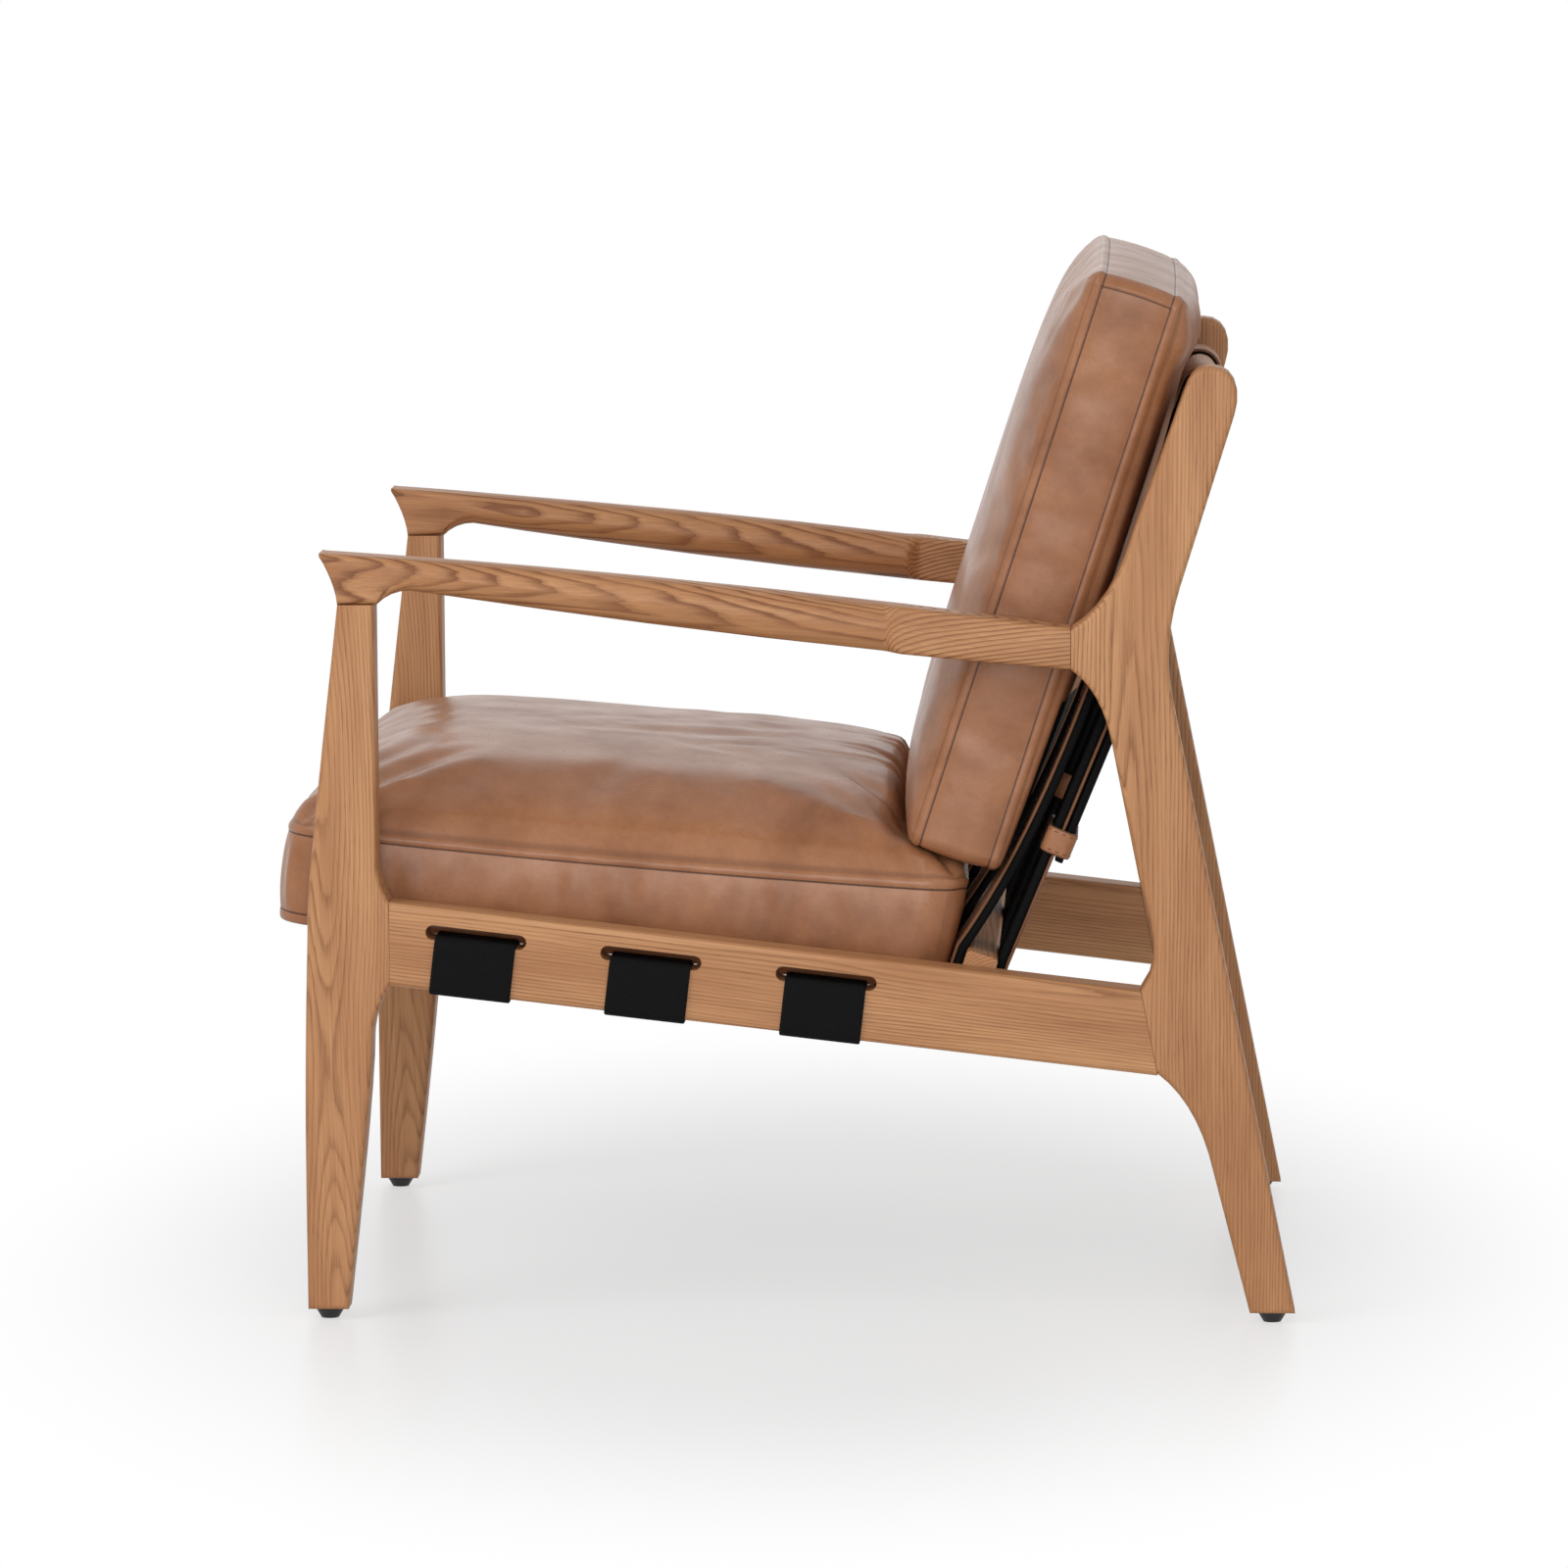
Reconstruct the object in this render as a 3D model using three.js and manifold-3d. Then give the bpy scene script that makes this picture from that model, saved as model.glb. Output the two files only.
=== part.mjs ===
// Lounge armchair: ash frame, webbing seat, belted back and two loose leather cushions.
// Millimetres. The chair faces -Y, +X is the sitter's left and Z is up.
// The origin is on the floor, under the middle of the chair.

import * as THREE from 'three'
import { mergeVertices } from 'three/addons/utils/BufferGeometryUtils.js'
import Module from 'manifold-3d'

const wasm = await Module()
wasm.setup()

// Wooden frame, common sizes
const FRAME_WIDTH = 685 // over the outer faces of the legs
const MEMBER = 36 // thickness of legs, rails and arm ends, across the width
const EDGE = 4 // rounding of the long edges
const GLUE_GAP = 0.3 // clearance at every wooden joint
const STUB = 2 * EDGE // extra length that is trimmed off square at a joint

// Side rail, side view
const RAIL_FRONT_Y = -290 // joint with the front leg
const RAIL_REAR_Y = 264 // joint with the rear leg, at the top edge
const RAIL_TOP_FRONT = 312 // height of the top edge at the front joint
const RAIL_SLOPE = 0.115 // fall of the rail per unit of length
const RAIL_DEPTH = 62 // upright depth of the rail
const RAIL_REAR_RAKE = 0.2 // lean of the rear joint
const TENON_THICKNESS = 12
const TENON_LENGTH = 26
const TENON_SHOULDER = 11 // rail depth above and below a tenon

// Front leg, side view
const FOOT_Z = 8 // underside of the legs, on the glides
const FRONT_FOOT_Y = -352
const FRONT_FOOT_DEPTH = 30
const FRONT_TOP_Y = -327
const FRONT_TOP_DEPTH = 27
const FRONT_BELLY = 61 // leg depth at the side rail
const FLARE_ABOVE = 9 // how far the leg widens to meet the rail, above it
const FLARE_BELOW = 13 // and below it
const FLARE_RISE = 32 // height of the flare above the rail
const FLARE_FALL = 40 // and below it
const FRONT_SWELL = 3.5 // forward lean of the leg's front edge above the rail
const ARM_SEAT_Z = 532 // top of the front leg, where the arm rests

// Rear leg and upright, side view
const REAR_FOOT_Y = 345
const REAR_FOOT_DEPTH = 33.5
const WAIST_Y = 278.8 // corner of the rear edge, before it is eased
const WAIST_Z = 503
const WAIST_EASE = 42
const UPRIGHT_LEAN = 0.311 // lean of the upright's rear edge
const UPRIGHT_TOP = 708
const UPRIGHT_DEPTH_LOW = 47
const UPRIGHT_DEPTH_TOP = 41
const UPRIGHT_TAPER_FROM = 585
const ARM_JOINT_Y = 212 // joint between arm and rear leg
const KNEE_DEPTH = 51 // rear leg just above the side rail
const KNEE_RISE = 82 // height of the curve above the side rail
const CAP_HEIGHT = 36 // rounded top of the upright
const ARM_CURVE_FALL = 53 // height of the curve below the arm
const RAIL_CURVE_FALL = 60 // height of the curve below the side rail
const RAIL_CURVE_REACH = 38

// Armrest
const ARM_TIP_Y = -340
const ARM_TIP_Z = 570
const ARM_REAR_TOP = 515.6
const ARM_REAR_DEPTH = 30.6
const ARM_CROWN = 5 // upward bow of the top edge
const ARM_WIDTH = 43 // in the middle of the arm
const ARM_INSET = 2.5 // middle of the arm behind the outer face of the legs
const ARM_BLOCK_FRONT = 88 // where the flat rear block begins
const ARM_BLOCK_BLEND = 14
const ARM_HOLLOW = 4.5 // sag of the underside below a straight line
const ARM_ROUND = 15 // corner radius of the middle
const ARM_THROAT_Z = 542 // underside just behind the front leg
const ARM_THROAT_REACH = 26 // length of the curve behind the leg
const ARM_SWELL = 60 // length over which the arm widens behind that
const ARM_LIP = 2.5 // thickness of the tip
const ARM_DOWEL_RADIUS = 5
const ARM_DOWEL_LENGTH = 40
const REAR_DOWEL_PITCH = 16 // between the two dowels at the arm's rear end

// Cross rails
const CROSS_THICKNESS = 24
const CROSS_TENON = 10 // length of a cross rail's tenon
const CROSS_SHOULDER = 10 // rail depth above and below it
const FRONT_RAIL_Y = -312
const FRONT_RAIL_DEPTH = 44
const FRONT_RAIL_CLEAR = 3 // front rail below the top of the webbing
const BACK_RAIL_Y = 147.5 // middle of the lower back rail's top face
const BACK_RAIL_Z = 270
const BACK_RAIL_DEPTH = 44
const CREST_RADIUS = 13.5
const CREST_DROP = 37 // crest dowel below the top of the uprights
const CREST_SOCKET = 16 // depth of its sockets in the uprights

// Glides
const GLIDE_TOP_RADIUS = 10.3
const GLIDE_BASE_RADIUS = 6.5
const GLIDE_PIN_RADIUS = 2
const GLIDE_PIN_LENGTH = 19

// Seat webbing
const WEB_DROP = 21 // top of the webbing below the rail's top edge
const WEB_MIDDLE_Y = -97 // middle strap
const WEB_SPACING = 130
const WEB_WIDTH = 60
const WEB_THICKNESS = 2.6
const WEB_GAP = 0.4
const SLOT_LENGTH = 75
const SLOT_HEIGHT = 11

// Seat cushion, in the slope of the side rails
const SEAT_SIDE_SPACE = 8.5 // from the cushion to the frame's inner face
const SEAT_FRONT = -282.25
const SEAT_REAR = 226
const SEAT_BAND = 65 // height of the sewn side band at the front
const SEAT_RISE = 17 // how much higher the band is at the rear
const SEAT_CROWN = 69
const SEAT_PRESS = 0.85 // share of the crown that the back cushion presses flat
const SEAT_PRESS_FROM = 80
const SEAT_PRESS_TO = 188
const SEAT_LIP = 10 // how far the front lip bulges down in front of the front rail
const SEAT_LIP_LENGTH = 36
const SEAT_LIP_BLEND = 10
const SEAT_TUCK = 12 // how far the lower rear edge is drawn forward
const SEAT_TUCK_LENGTH = 60
const SEAT_RIM = 30 // leather rim round the black underside
const SEAT_CORNER = 34

// Back cushion, in its own slope
const BACK_LEAN = THREE.MathUtils.degToRad(18)
const BACK_SIDE_SPACE = 11.5 // from the cushion to the frame's inner face
const BACK_FRONT = -13 // front seam, square to the slope
const BACK_BAND = 51.5 // width of the sewn side band
const BACK_LOW = 363 // lower end along the slope
const BACK_HIGH = 822
const BACK_CROWN_FRONT = 33
const BACK_CROWN_REAR = 26.5
const BACK_REAR_TAPER = 0.25 // share of the rear crown that is lost towards the bottom
const BACK_CROWN_TOP = 4
const BACK_PANEL_TOP = 497 // upper edge of the black rear panel, along the slope
const BACK_RIM = 6 // leather rim round that panel
const BACK_CORNER = 24

// Both cushions
const COVER = 2.5 // cover and panel thickness
const FOAM_GAP = 0.5
const SIDE_PULL = 5 // how far the sides draw in between the corners
const BAND_SWELL = 3
const PANEL_GAP = 0.3

// Back belts
const BELT_SIDE_SPACE = 56.5 // from the middle of an outer belt to the frame's inner face
const BELT_WIDTH = 70
const WEBBING = 6
const LEATHER = 3
const LAYER_GAP = 0.3
const BELT_GIVE = 18 // how far the cushion bows the front run
const BOW_AT = 0.66 // where that bow lies, down the run
const SLIDE_AT = 285 // place of the slide's top bar up the rear run
const SLIDE_BOW = 1 // how far the slide stands out of a straight rear run
const SLIDE_PITCH = 16 // distance between its bars
const SLIDE_ROD = 2
const SLIDE_EASE = 1 // free space between the layers inside the slide
const FOLD_LENGTH = 24 // folded leather end above the slide
const TAIL_EASE = 1.5 // free space between the leather and the hanging tail
const TAIL_BULGE = 2.5 // how much further out the tail leaves the slide
const TAIL_TIP_AT = 86
const KEEPER_AT = 100
const KEEPER_STAGGER = 15 // each keeper is slid a little higher than the one on its left
const KEEPER_HEIGHT = 20
const KEEPER_WALL = 3
const KEEPER_SLACK = 0.6 // free depth inside the keeper, in front of the belt

// Finishes
const ASH = { color: 0xa9764b, roughness: 0.55, metalness: 0 }
const DOWEL = { color: 0xc49a6c, roughness: 0.7, metalness: 0 }
const TAN_LEATHER = { color: 0x97674c, roughness: 0.45, metalness: 0 }
const BLACK_FABRIC = { color: 0x0c0c0d, roughness: 0.9, metalness: 0 }
const FOAM = { color: 0xd9d2b8, roughness: 0.95, metalness: 0 }
const BLACK_PLASTIC = { color: 0x151515, roughness: 0.5, metalness: 0 }
const DARK_METAL = { color: 0x3a352f, roughness: 0.4, metalness: 0.9 }

const OUTER = FRAME_WIDTH / 2
const INNER = OUTER - MEMBER
const MEMBER_MIDDLE = (OUTER + INNER) / 2
const SEAT_HALF_WIDTH = INNER - SEAT_SIDE_SPACE
const BACK_HALF_WIDTH = INNER - BACK_SIDE_SPACE
const BELT_SPACING = INNER - BELT_SIDE_SPACE
const BIG = 1000

// Axes for profiles drawn in the side view and in the front view
const AXIS_X = new THREE.Vector3(1, 0, 0)
const SIDE_VIEW = new THREE.Matrix4().makeBasis(
  new THREE.Vector3(0, 1, 0),
  new THREE.Vector3(0, 0, 1),
  AXIS_X,
)
const FRONT_VIEW = new THREE.Matrix4().makeBasis(
  AXIS_X,
  new THREE.Vector3(0, 0, 1),
  new THREE.Vector3(0, -1, 0),
)

const { clamp, lerp, smoothstep, mapLinear } = THREE.MathUtils

const chair = new THREE.Group()

function addPart(name, geometry, finish, parent = chair) {
  const mesh = new THREE.Mesh(geometry, new THREE.MeshStandardMaterial(finish))
  mesh.name = name
  parent.add(mesh)
}

// Solids for joining and cutting
function solid(geometry) {
  const bare = geometry.clone()
  bare.deleteAttribute('normal')
  bare.deleteAttribute('uv')
  const merged = mergeVertices(bare, 1e-4)
  return new wasm.Manifold(
    new wasm.Mesh({
      numProp: 3,
      vertProperties: new Float32Array(merged.attributes.position.array),
      triVerts: new Uint32Array(merged.index.array),
    }),
  )
}

function geometryOf(body) {
  const mesh = body.getMesh()
  const geometry = new THREE.BufferGeometry()
  geometry.setAttribute('position', new THREE.BufferAttribute(mesh.vertProperties, 3))
  geometry.setIndex(new THREE.BufferAttribute(mesh.triVerts, 1))
  geometry.computeVertexNormals()
  return geometry
}

function cut(geometry, ...tools) {
  return geometryOf(tools.reduce((body, tool) => body.subtract(solid(tool)), solid(geometry)))
}

function join(...pieces) {
  return geometryOf(pieces.map(solid).reduce((body, piece) => body.add(piece)))
}

function common(geometry, tool) {
  return geometryOf(solid(geometry).intersect(solid(tool)))
}

function mirrored(geometry) {
  const copy = geometry.clone().scale(-1, 1, 1)
  const index = copy.index.array
  for (let i = 0; i < index.length; i += 3) {
    const first = index[i]
    index[i] = index[i + 1]
    index[i + 1] = first
  }
  copy.computeVertexNormals()
  return copy
}

function addPair(name, geometry, finish) {
  addPart(`${name}_left`, geometry, finish)
  addPart(`${name}_right`, mirrored(geometry), finish)
}

// A block across one side of the frame, for trimming at a joint
function trimBlock(y, z, depth, height) {
  return block(MEMBER_MIDDLE, y, z, 2 * MEMBER, depth, height)
}

// A block given by its centre and size
function block(x, y, z, width, depth, height) {
  return new THREE.BoxGeometry(width, depth, height).translate(x, y, z)
}

function rodAlongX(x, y, z, radius, length, sides = 24) {
  return new THREE.CylinderGeometry(radius, radius, length, sides)
    .rotateZ(Math.PI / 2)
    .translate(x, y, z)
}

function rodAlongY(x, y, z, radius, length, sides = 12) {
  return new THREE.CylinderGeometry(radius, radius, length, sides).translate(x, y, z)
}

function rodAlongZ(x, y, z, radius, length, sides = 12) {
  return new THREE.CylinderGeometry(radius, radius, length, sides)
    .rotateX(Math.PI / 2)
    .translate(x, y, z)
}

// An outline in Y and Z, extruded across the width with rounded edges
function slab(shape, fromX, thickness, edge = EDGE) {
  return new THREE.ExtrudeGeometry(shape, {
    depth: thickness - 2 * edge,
    bevelEnabled: edge > 0,
    bevelThickness: edge,
    bevelSize: edge,
    bevelOffset: -edge,
    bevelSegments: 3,
    curveSegments: 6,
  })
    .translate(0, 0, fromX + edge)
    .applyMatrix4(SIDE_VIEW)
}

function points(...pairs) {
  return pairs.map(([a, b]) => new THREE.Vector2(a, b))
}

// A closed polygon with every corner eased by a small curve
function easedPolygon(corners, ease) {
  const path = new THREE.Shape()
  corners.forEach((corner, i) => {
    const before = corners[(i + corners.length - 1) % corners.length]
    const after = corners[(i + 1) % corners.length]
    const start = corner.clone().lerp(before, ease / corner.distanceTo(before))
    const end = corner.clone().lerp(after, ease / corner.distanceTo(after))
    if (i === 0) path.moveTo(start.x, start.y)
    else path.lineTo(start.x, start.y)
    path.quadraticCurveTo(corner.x, corner.y, end.x, end.y)
  })
  path.closePath()
  return path
}

// Side rail lines
const railTop = (y) => RAIL_TOP_FRONT - RAIL_SLOPE * (y - RAIL_FRONT_Y)
const railBottom = (y) => railTop(y) - RAIL_DEPTH
const RAIL_REAR_LOW_Y = RAIL_REAR_Y + RAIL_REAR_RAKE * RAIL_DEPTH

// Upright lines
const uprightRear = (z) => WAIST_Y + UPRIGHT_LEAN * (z - WAIST_Z)
const uprightDepth = (z) =>
  mapLinear(
    z,
    UPRIGHT_TAPER_FROM,
    UPRIGHT_TOP,
    UPRIGHT_DEPTH_LOW,
    UPRIGHT_DEPTH_TOP,
  )
const uprightFront = (z) => uprightRear(z) - uprightDepth(z)
const CREST_Z = UPRIGHT_TOP - CREST_DROP
const CREST_Y = (uprightFront(CREST_Z) + uprightRear(CREST_Z)) / 2

// Arm lines: the top bows up, the underside sags slightly
const armTop = (y) => {
  const t = (y - ARM_TIP_Y) / (ARM_JOINT_Y - ARM_TIP_Y)
  return lerp(ARM_TIP_Z, ARM_REAR_TOP, t) + 4 * ARM_CROWN * t * (1 - t)
}
const ARM_THROAT_Y = FRONT_TOP_Y + FRONT_TOP_DEPTH + ARM_THROAT_REACH
const armUnder = (y) => {
  const t = (y - ARM_THROAT_Y) / (ARM_JOINT_Y - ARM_THROAT_Y)
  const low = ARM_REAR_TOP - ARM_REAR_DEPTH
  return lerp(ARM_THROAT_Z, low, t) - 4 * ARM_HOLLOW * t * (1 - t)
}

// The rear joint of the side rail leans, so it is trimmed by a leaning block
function rearJointBlock(offset) {
  const tilt = Math.atan(RAIL_REAR_RAKE)
  return block(MEMBER_MIDDLE, -BIG / 2, 0, 2 * MEMBER, BIG, BIG)
    .rotateX(tilt)
    .translate(0, RAIL_REAR_Y + offset, railTop(RAIL_REAR_Y))
}

function railTenons(clearance) {
  const height = RAIL_DEPTH - 2 * TENON_SHOULDER + 2 * clearance
  const front = RAIL_FRONT_Y - TENON_LENGTH - clearance
  const rear = RAIL_REAR_LOW_Y + TENON_LENGTH + clearance
  const thickness = TENON_THICKNESS + 2 * clearance
  const length = rear - front
  const middle = (front + rear) / 2
  return block(MEMBER_MIDDLE, 0, 0, thickness, length, height)
    .rotateX(-Math.atan(RAIL_SLOPE))
    .translate(0, middle, railTop(middle) - RAIL_DEPTH / 2)
}

// Front leg
function frontLegOutline() {
  const top = railTop(RAIL_FRONT_Y)
  const bottom = railBottom(RAIL_FRONT_Y)
  const belly = RAIL_FRONT_Y - FRONT_BELLY
  const neckAbove = RAIL_FRONT_Y - FLARE_ABOVE
  const neckBelow = RAIL_FRONT_Y - FLARE_BELOW
  const footRear = FRONT_FOOT_Y + FRONT_FOOT_DEPTH
  const topRear = FRONT_TOP_Y + FRONT_TOP_DEPTH
  const shape = new THREE.Shape()
  shape.moveTo(FRONT_FOOT_Y, FOOT_Z)
  shape.lineTo(footRear, FOOT_Z)
  const neckZ = bottom - FLARE_FALL
  shape.quadraticCurveTo(neckBelow, lerp(FOOT_Z, neckZ, 0.82), neckBelow, neckZ)
  shape.quadraticCurveTo(neckBelow, lerp(neckZ, bottom, 0.45), RAIL_FRONT_Y, bottom)
  shape.lineTo(RAIL_FRONT_Y + STUB, bottom)
  shape.lineTo(RAIL_FRONT_Y + STUB, top)
  shape.lineTo(RAIL_FRONT_Y, top)
  shape.quadraticCurveTo(neckAbove, top + 0.44 * FLARE_RISE, neckAbove, top + FLARE_RISE)
  shape.lineTo(topRear, ARM_SEAT_Z)
  shape.lineTo(topRear, ARM_SEAT_Z + STUB)
  shape.lineTo(FRONT_TOP_Y, ARM_SEAT_Z + STUB)
  shape.lineTo(FRONT_TOP_Y, ARM_SEAT_Z)
  shape.splineThru(
    points(
      [belly + FRONT_SWELL, top + FLARE_RISE],
      [belly, lerp(bottom, top, 0.4)],
      [FRONT_FOOT_Y - 1, lerp(FOOT_Z, bottom, 0.6)],
      [FRONT_FOOT_Y, FOOT_Z],
    ),
  )
  return shape
}

// Rear leg and upright in one piece
function rearLegOutline() {
  const armTopAt = ARM_REAR_TOP - 1
  const armLowAt = ARM_REAR_TOP - ARM_REAR_DEPTH
  const railTopAt = railTop(RAIL_REAR_Y)
  const railLowAt = railTopAt - RAIL_DEPTH
  const footRear = REAR_FOOT_Y + REAR_FOOT_DEPTH
  const rearEdge = (z) =>
    mapLinear(z, FOOT_Z, WAIST_Z, footRear, WAIST_Y)
  const kneeZ = railTopAt + KNEE_RISE
  const shoulder = UPRIGHT_TOP - CAP_HEIGHT
  const shape = new THREE.Shape()
  shape.moveTo(REAR_FOOT_Y, FOOT_Z)
  shape.lineTo(footRear, FOOT_Z)
  shape.lineTo(rearEdge(WAIST_Z - WAIST_EASE), WAIST_Z - WAIST_EASE)
  shape.quadraticCurveTo(
    WAIST_Y,
    WAIST_Z,
    uprightRear(WAIST_Z + WAIST_EASE),
    WAIST_Z + WAIST_EASE,
  )
  shape.lineTo(uprightRear(shoulder), shoulder)
  const capY = lerp(uprightFront(UPRIGHT_TOP), uprightRear(UPRIGHT_TOP), 0.3)
  const capFront = UPRIGHT_TOP - 0.42 * CAP_HEIGHT
  const capBack = shoulder + 0.55 * CAP_HEIGHT
  shape.bezierCurveTo(
    uprightRear(capBack),
    capBack,
    capY + 0.47 * CAP_HEIGHT,
    UPRIGHT_TOP,
    capY,
    UPRIGHT_TOP,
  )
  const capLip = lerp(capFront, UPRIGHT_TOP, 0.6)
  shape.bezierCurveTo(
    capY - 0.25 * CAP_HEIGHT,
    UPRIGHT_TOP,
    uprightFront(capLip),
    capLip,
    uprightFront(capFront),
    capFront,
  )
  shape.lineTo(uprightFront(UPRIGHT_TAPER_FROM), UPRIGHT_TAPER_FROM)
  const armCurve = uprightFront(UPRIGHT_TAPER_FROM) - ARM_JOINT_Y
  shape.quadraticCurveTo(
    ARM_JOINT_Y + 0.68 * armCurve,
    lerp(armTopAt, UPRIGHT_TAPER_FROM, 0.26),
    ARM_JOINT_Y,
    armTopAt,
  )
  shape.lineTo(ARM_JOINT_Y - STUB, armTopAt)
  shape.lineTo(ARM_JOINT_Y - STUB, armLowAt)
  shape.lineTo(ARM_JOINT_Y, armLowAt)
  const armCurveLow = armLowAt - ARM_CURVE_FALL
  const armCurveY = rearEdge(armCurveLow) - KNEE_DEPTH
  shape.quadraticCurveTo(
    lerp(ARM_JOINT_Y, armCurveY, 0.74),
    lerp(armLowAt, armCurveLow, 0.28),
    armCurveY,
    armCurveLow,
  )
  const kneeY = rearEdge(kneeZ) - KNEE_DEPTH
  shape.lineTo(kneeY, kneeZ)
  shape.bezierCurveTo(
    kneeY + 0.11 * KNEE_RISE,
    lerp(kneeZ, railTopAt, 0.41),
    RAIL_REAR_Y + 0.21 * KNEE_RISE,
    lerp(kneeZ, railTopAt, 0.74),
    RAIL_REAR_Y,
    railTopAt,
  )
  shape.lineTo(RAIL_REAR_Y - STUB, railTopAt)
  shape.lineTo(RAIL_REAR_LOW_Y - STUB, railLowAt)
  shape.lineTo(RAIL_REAR_LOW_Y, railLowAt)
  shape.quadraticCurveTo(
    RAIL_REAR_LOW_Y + 0.68 * RAIL_CURVE_REACH,
    railLowAt - 0.32 * RAIL_CURVE_FALL,
    RAIL_REAR_LOW_Y + RAIL_CURVE_REACH,
    railLowAt - RAIL_CURVE_FALL,
  )
  shape.lineTo(REAR_FOOT_Y, FOOT_Z)
  return shape
}

const FRONT_FOOT_MIDDLE = FRONT_FOOT_Y + FRONT_FOOT_DEPTH / 2
const REAR_FOOT_MIDDLE = REAR_FOOT_Y + REAR_FOOT_DEPTH / 2
const FRONT_DOWEL_Y = FRONT_TOP_Y + FRONT_TOP_DEPTH / 2
const REAR_DOWEL_MIDDLE = ARM_REAR_TOP - ARM_REAR_DEPTH / 2

function glidePinHole(y) {
  const length = GLIDE_PIN_LENGTH + 1
  const radius = GLIDE_PIN_RADIUS + GLUE_GAP
  return rodAlongZ(MEMBER_MIDDLE, y, FOOT_Z + length / 2 - 0.5, radius, length + 1)
}

function frontArmDowel(clearance) {
  const radius = ARM_DOWEL_RADIUS + clearance
  return rodAlongZ(
    MEMBER_MIDDLE,
    FRONT_DOWEL_Y,
    ARM_SEAT_Z,
    radius,
    ARM_DOWEL_LENGTH + 2 * clearance,
  )
}

function rearArmDowel(side, clearance) {
  const z = REAR_DOWEL_MIDDLE + (side * REAR_DOWEL_PITCH) / 2
  const radius = ARM_DOWEL_RADIUS - 1 + clearance
  return rodAlongY(MEMBER_MIDDLE, ARM_JOINT_Y, z, radius, ARM_DOWEL_LENGTH + 2 * clearance)
}

// Cross rails with their stub tenons: the front rail is upright, the lower back rail leans
const FRONT_RAIL_TOP = railTop(FRONT_RAIL_Y) - WEB_DROP - FRONT_RAIL_CLEAR

function crossRail(depth, edge) {
  const half = CROSS_THICKNESS / 2
  const corners = points([-half, -depth], [half, -depth], [half, 0], [-half, 0])
  const length = 2 * (INNER - GLUE_GAP)
  return slab(easedPolygon(corners, edge), -length / 2, length, 0)
}

function crossTenon(depth, clearance) {
  const length = 2 * (INNER + CROSS_TENON + clearance)
  const thickness = CROSS_THICKNESS / 2 + 2 * clearance
  const height = depth - 2 * CROSS_SHOULDER + 2 * clearance
  return block(0, 0, -depth / 2, length, thickness, height)
}

function placeFrontRail(geometry) {
  return geometry.translate(0, FRONT_RAIL_Y, FRONT_RAIL_TOP)
}

function placeBackRail(geometry) {
  return geometry.rotateX(-BACK_LEAN).translate(0, BACK_RAIL_Y, BACK_RAIL_Z)
}

function makeLegs() {
  const armTrim = trimBlock(FRONT_TOP_Y, ARM_SEAT_Z + BIG / 2 - GLUE_GAP / 2, BIG, BIG)
  const railTrim = trimBlock(RAIL_FRONT_Y + BIG / 2 - GLUE_GAP / 2, 0, BIG, BIG)
  const frontLeg = cut(
    slab(frontLegOutline(), INNER, MEMBER),
    armTrim,
    railTrim,
    railTenons(GLUE_GAP),
    frontArmDowel(GLUE_GAP),
    glidePinHole(FRONT_FOOT_MIDDLE),
    placeFrontRail(crossTenon(FRONT_RAIL_DEPTH, GLUE_GAP)),
  )
  addPair('front_leg', frontLeg, ASH)

  const armJointTrim = trimBlock(
    ARM_JOINT_Y - STUB,
    REAR_DOWEL_MIDDLE,
    2 * STUB + GLUE_GAP,
    2 * ARM_REAR_DEPTH,
  )
  const railLow = trimBlock(0, railTop(RAIL_REAR_Y) - RAIL_DEPTH / 2, BIG, 2 * RAIL_DEPTH)
  const railJointTrim = common(rearJointBlock(GLUE_GAP / 2), railLow)
  const rearLeg = cut(
    slab(rearLegOutline(), INNER, MEMBER),
    armJointTrim,
    railJointTrim,
    railTenons(GLUE_GAP),
    rearArmDowel(1, GLUE_GAP),
    rearArmDowel(-1, GLUE_GAP),
    glidePinHole(REAR_FOOT_MIDDLE),
    rodAlongX(INNER, CREST_Y, CREST_Z, CREST_RADIUS + GLUE_GAP, 2 * CREST_SOCKET),
  )
  addPair('rear_leg', rearLeg, ASH)
}

// Armrest: rounded sections lofted from the tip to the rear block
function armSection(y, top, under, roundness) {
  const bend = smoothstep(y, ARM_BLOCK_FRONT - ARM_BLOCK_BLEND, ARM_BLOCK_FRONT)
  const swell = smoothstep(y, FRONT_TOP_Y, ARM_THROAT_Y + ARM_SWELL)
  const middle = swell * (1 - bend)
  const outside = OUTER - ARM_INSET * middle
  const inside = outside - lerp(MEMBER, ARM_WIDTH, middle)
  const radius = Math.min(lerp(EDGE, roundness, middle), (top - under) / 2.05)
  const steps = 3
  const section = []
  const corners = [
    [outside - radius, under + radius, -Math.PI / 2],
    [outside - radius, top - radius, 0],
    [inside + radius, top - radius, Math.PI / 2],
    [inside + radius, under + radius, Math.PI],
  ]
  for (const [cx, cz, start] of corners) {
    for (let i = 0; i <= steps; i += 1) {
      const angle = start + (i / steps) * (Math.PI / 2)
      section.push(new THREE.Vector3(cx + radius * Math.cos(angle), y, cz + radius * Math.sin(angle)))
    }
  }
  return section
}

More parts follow.
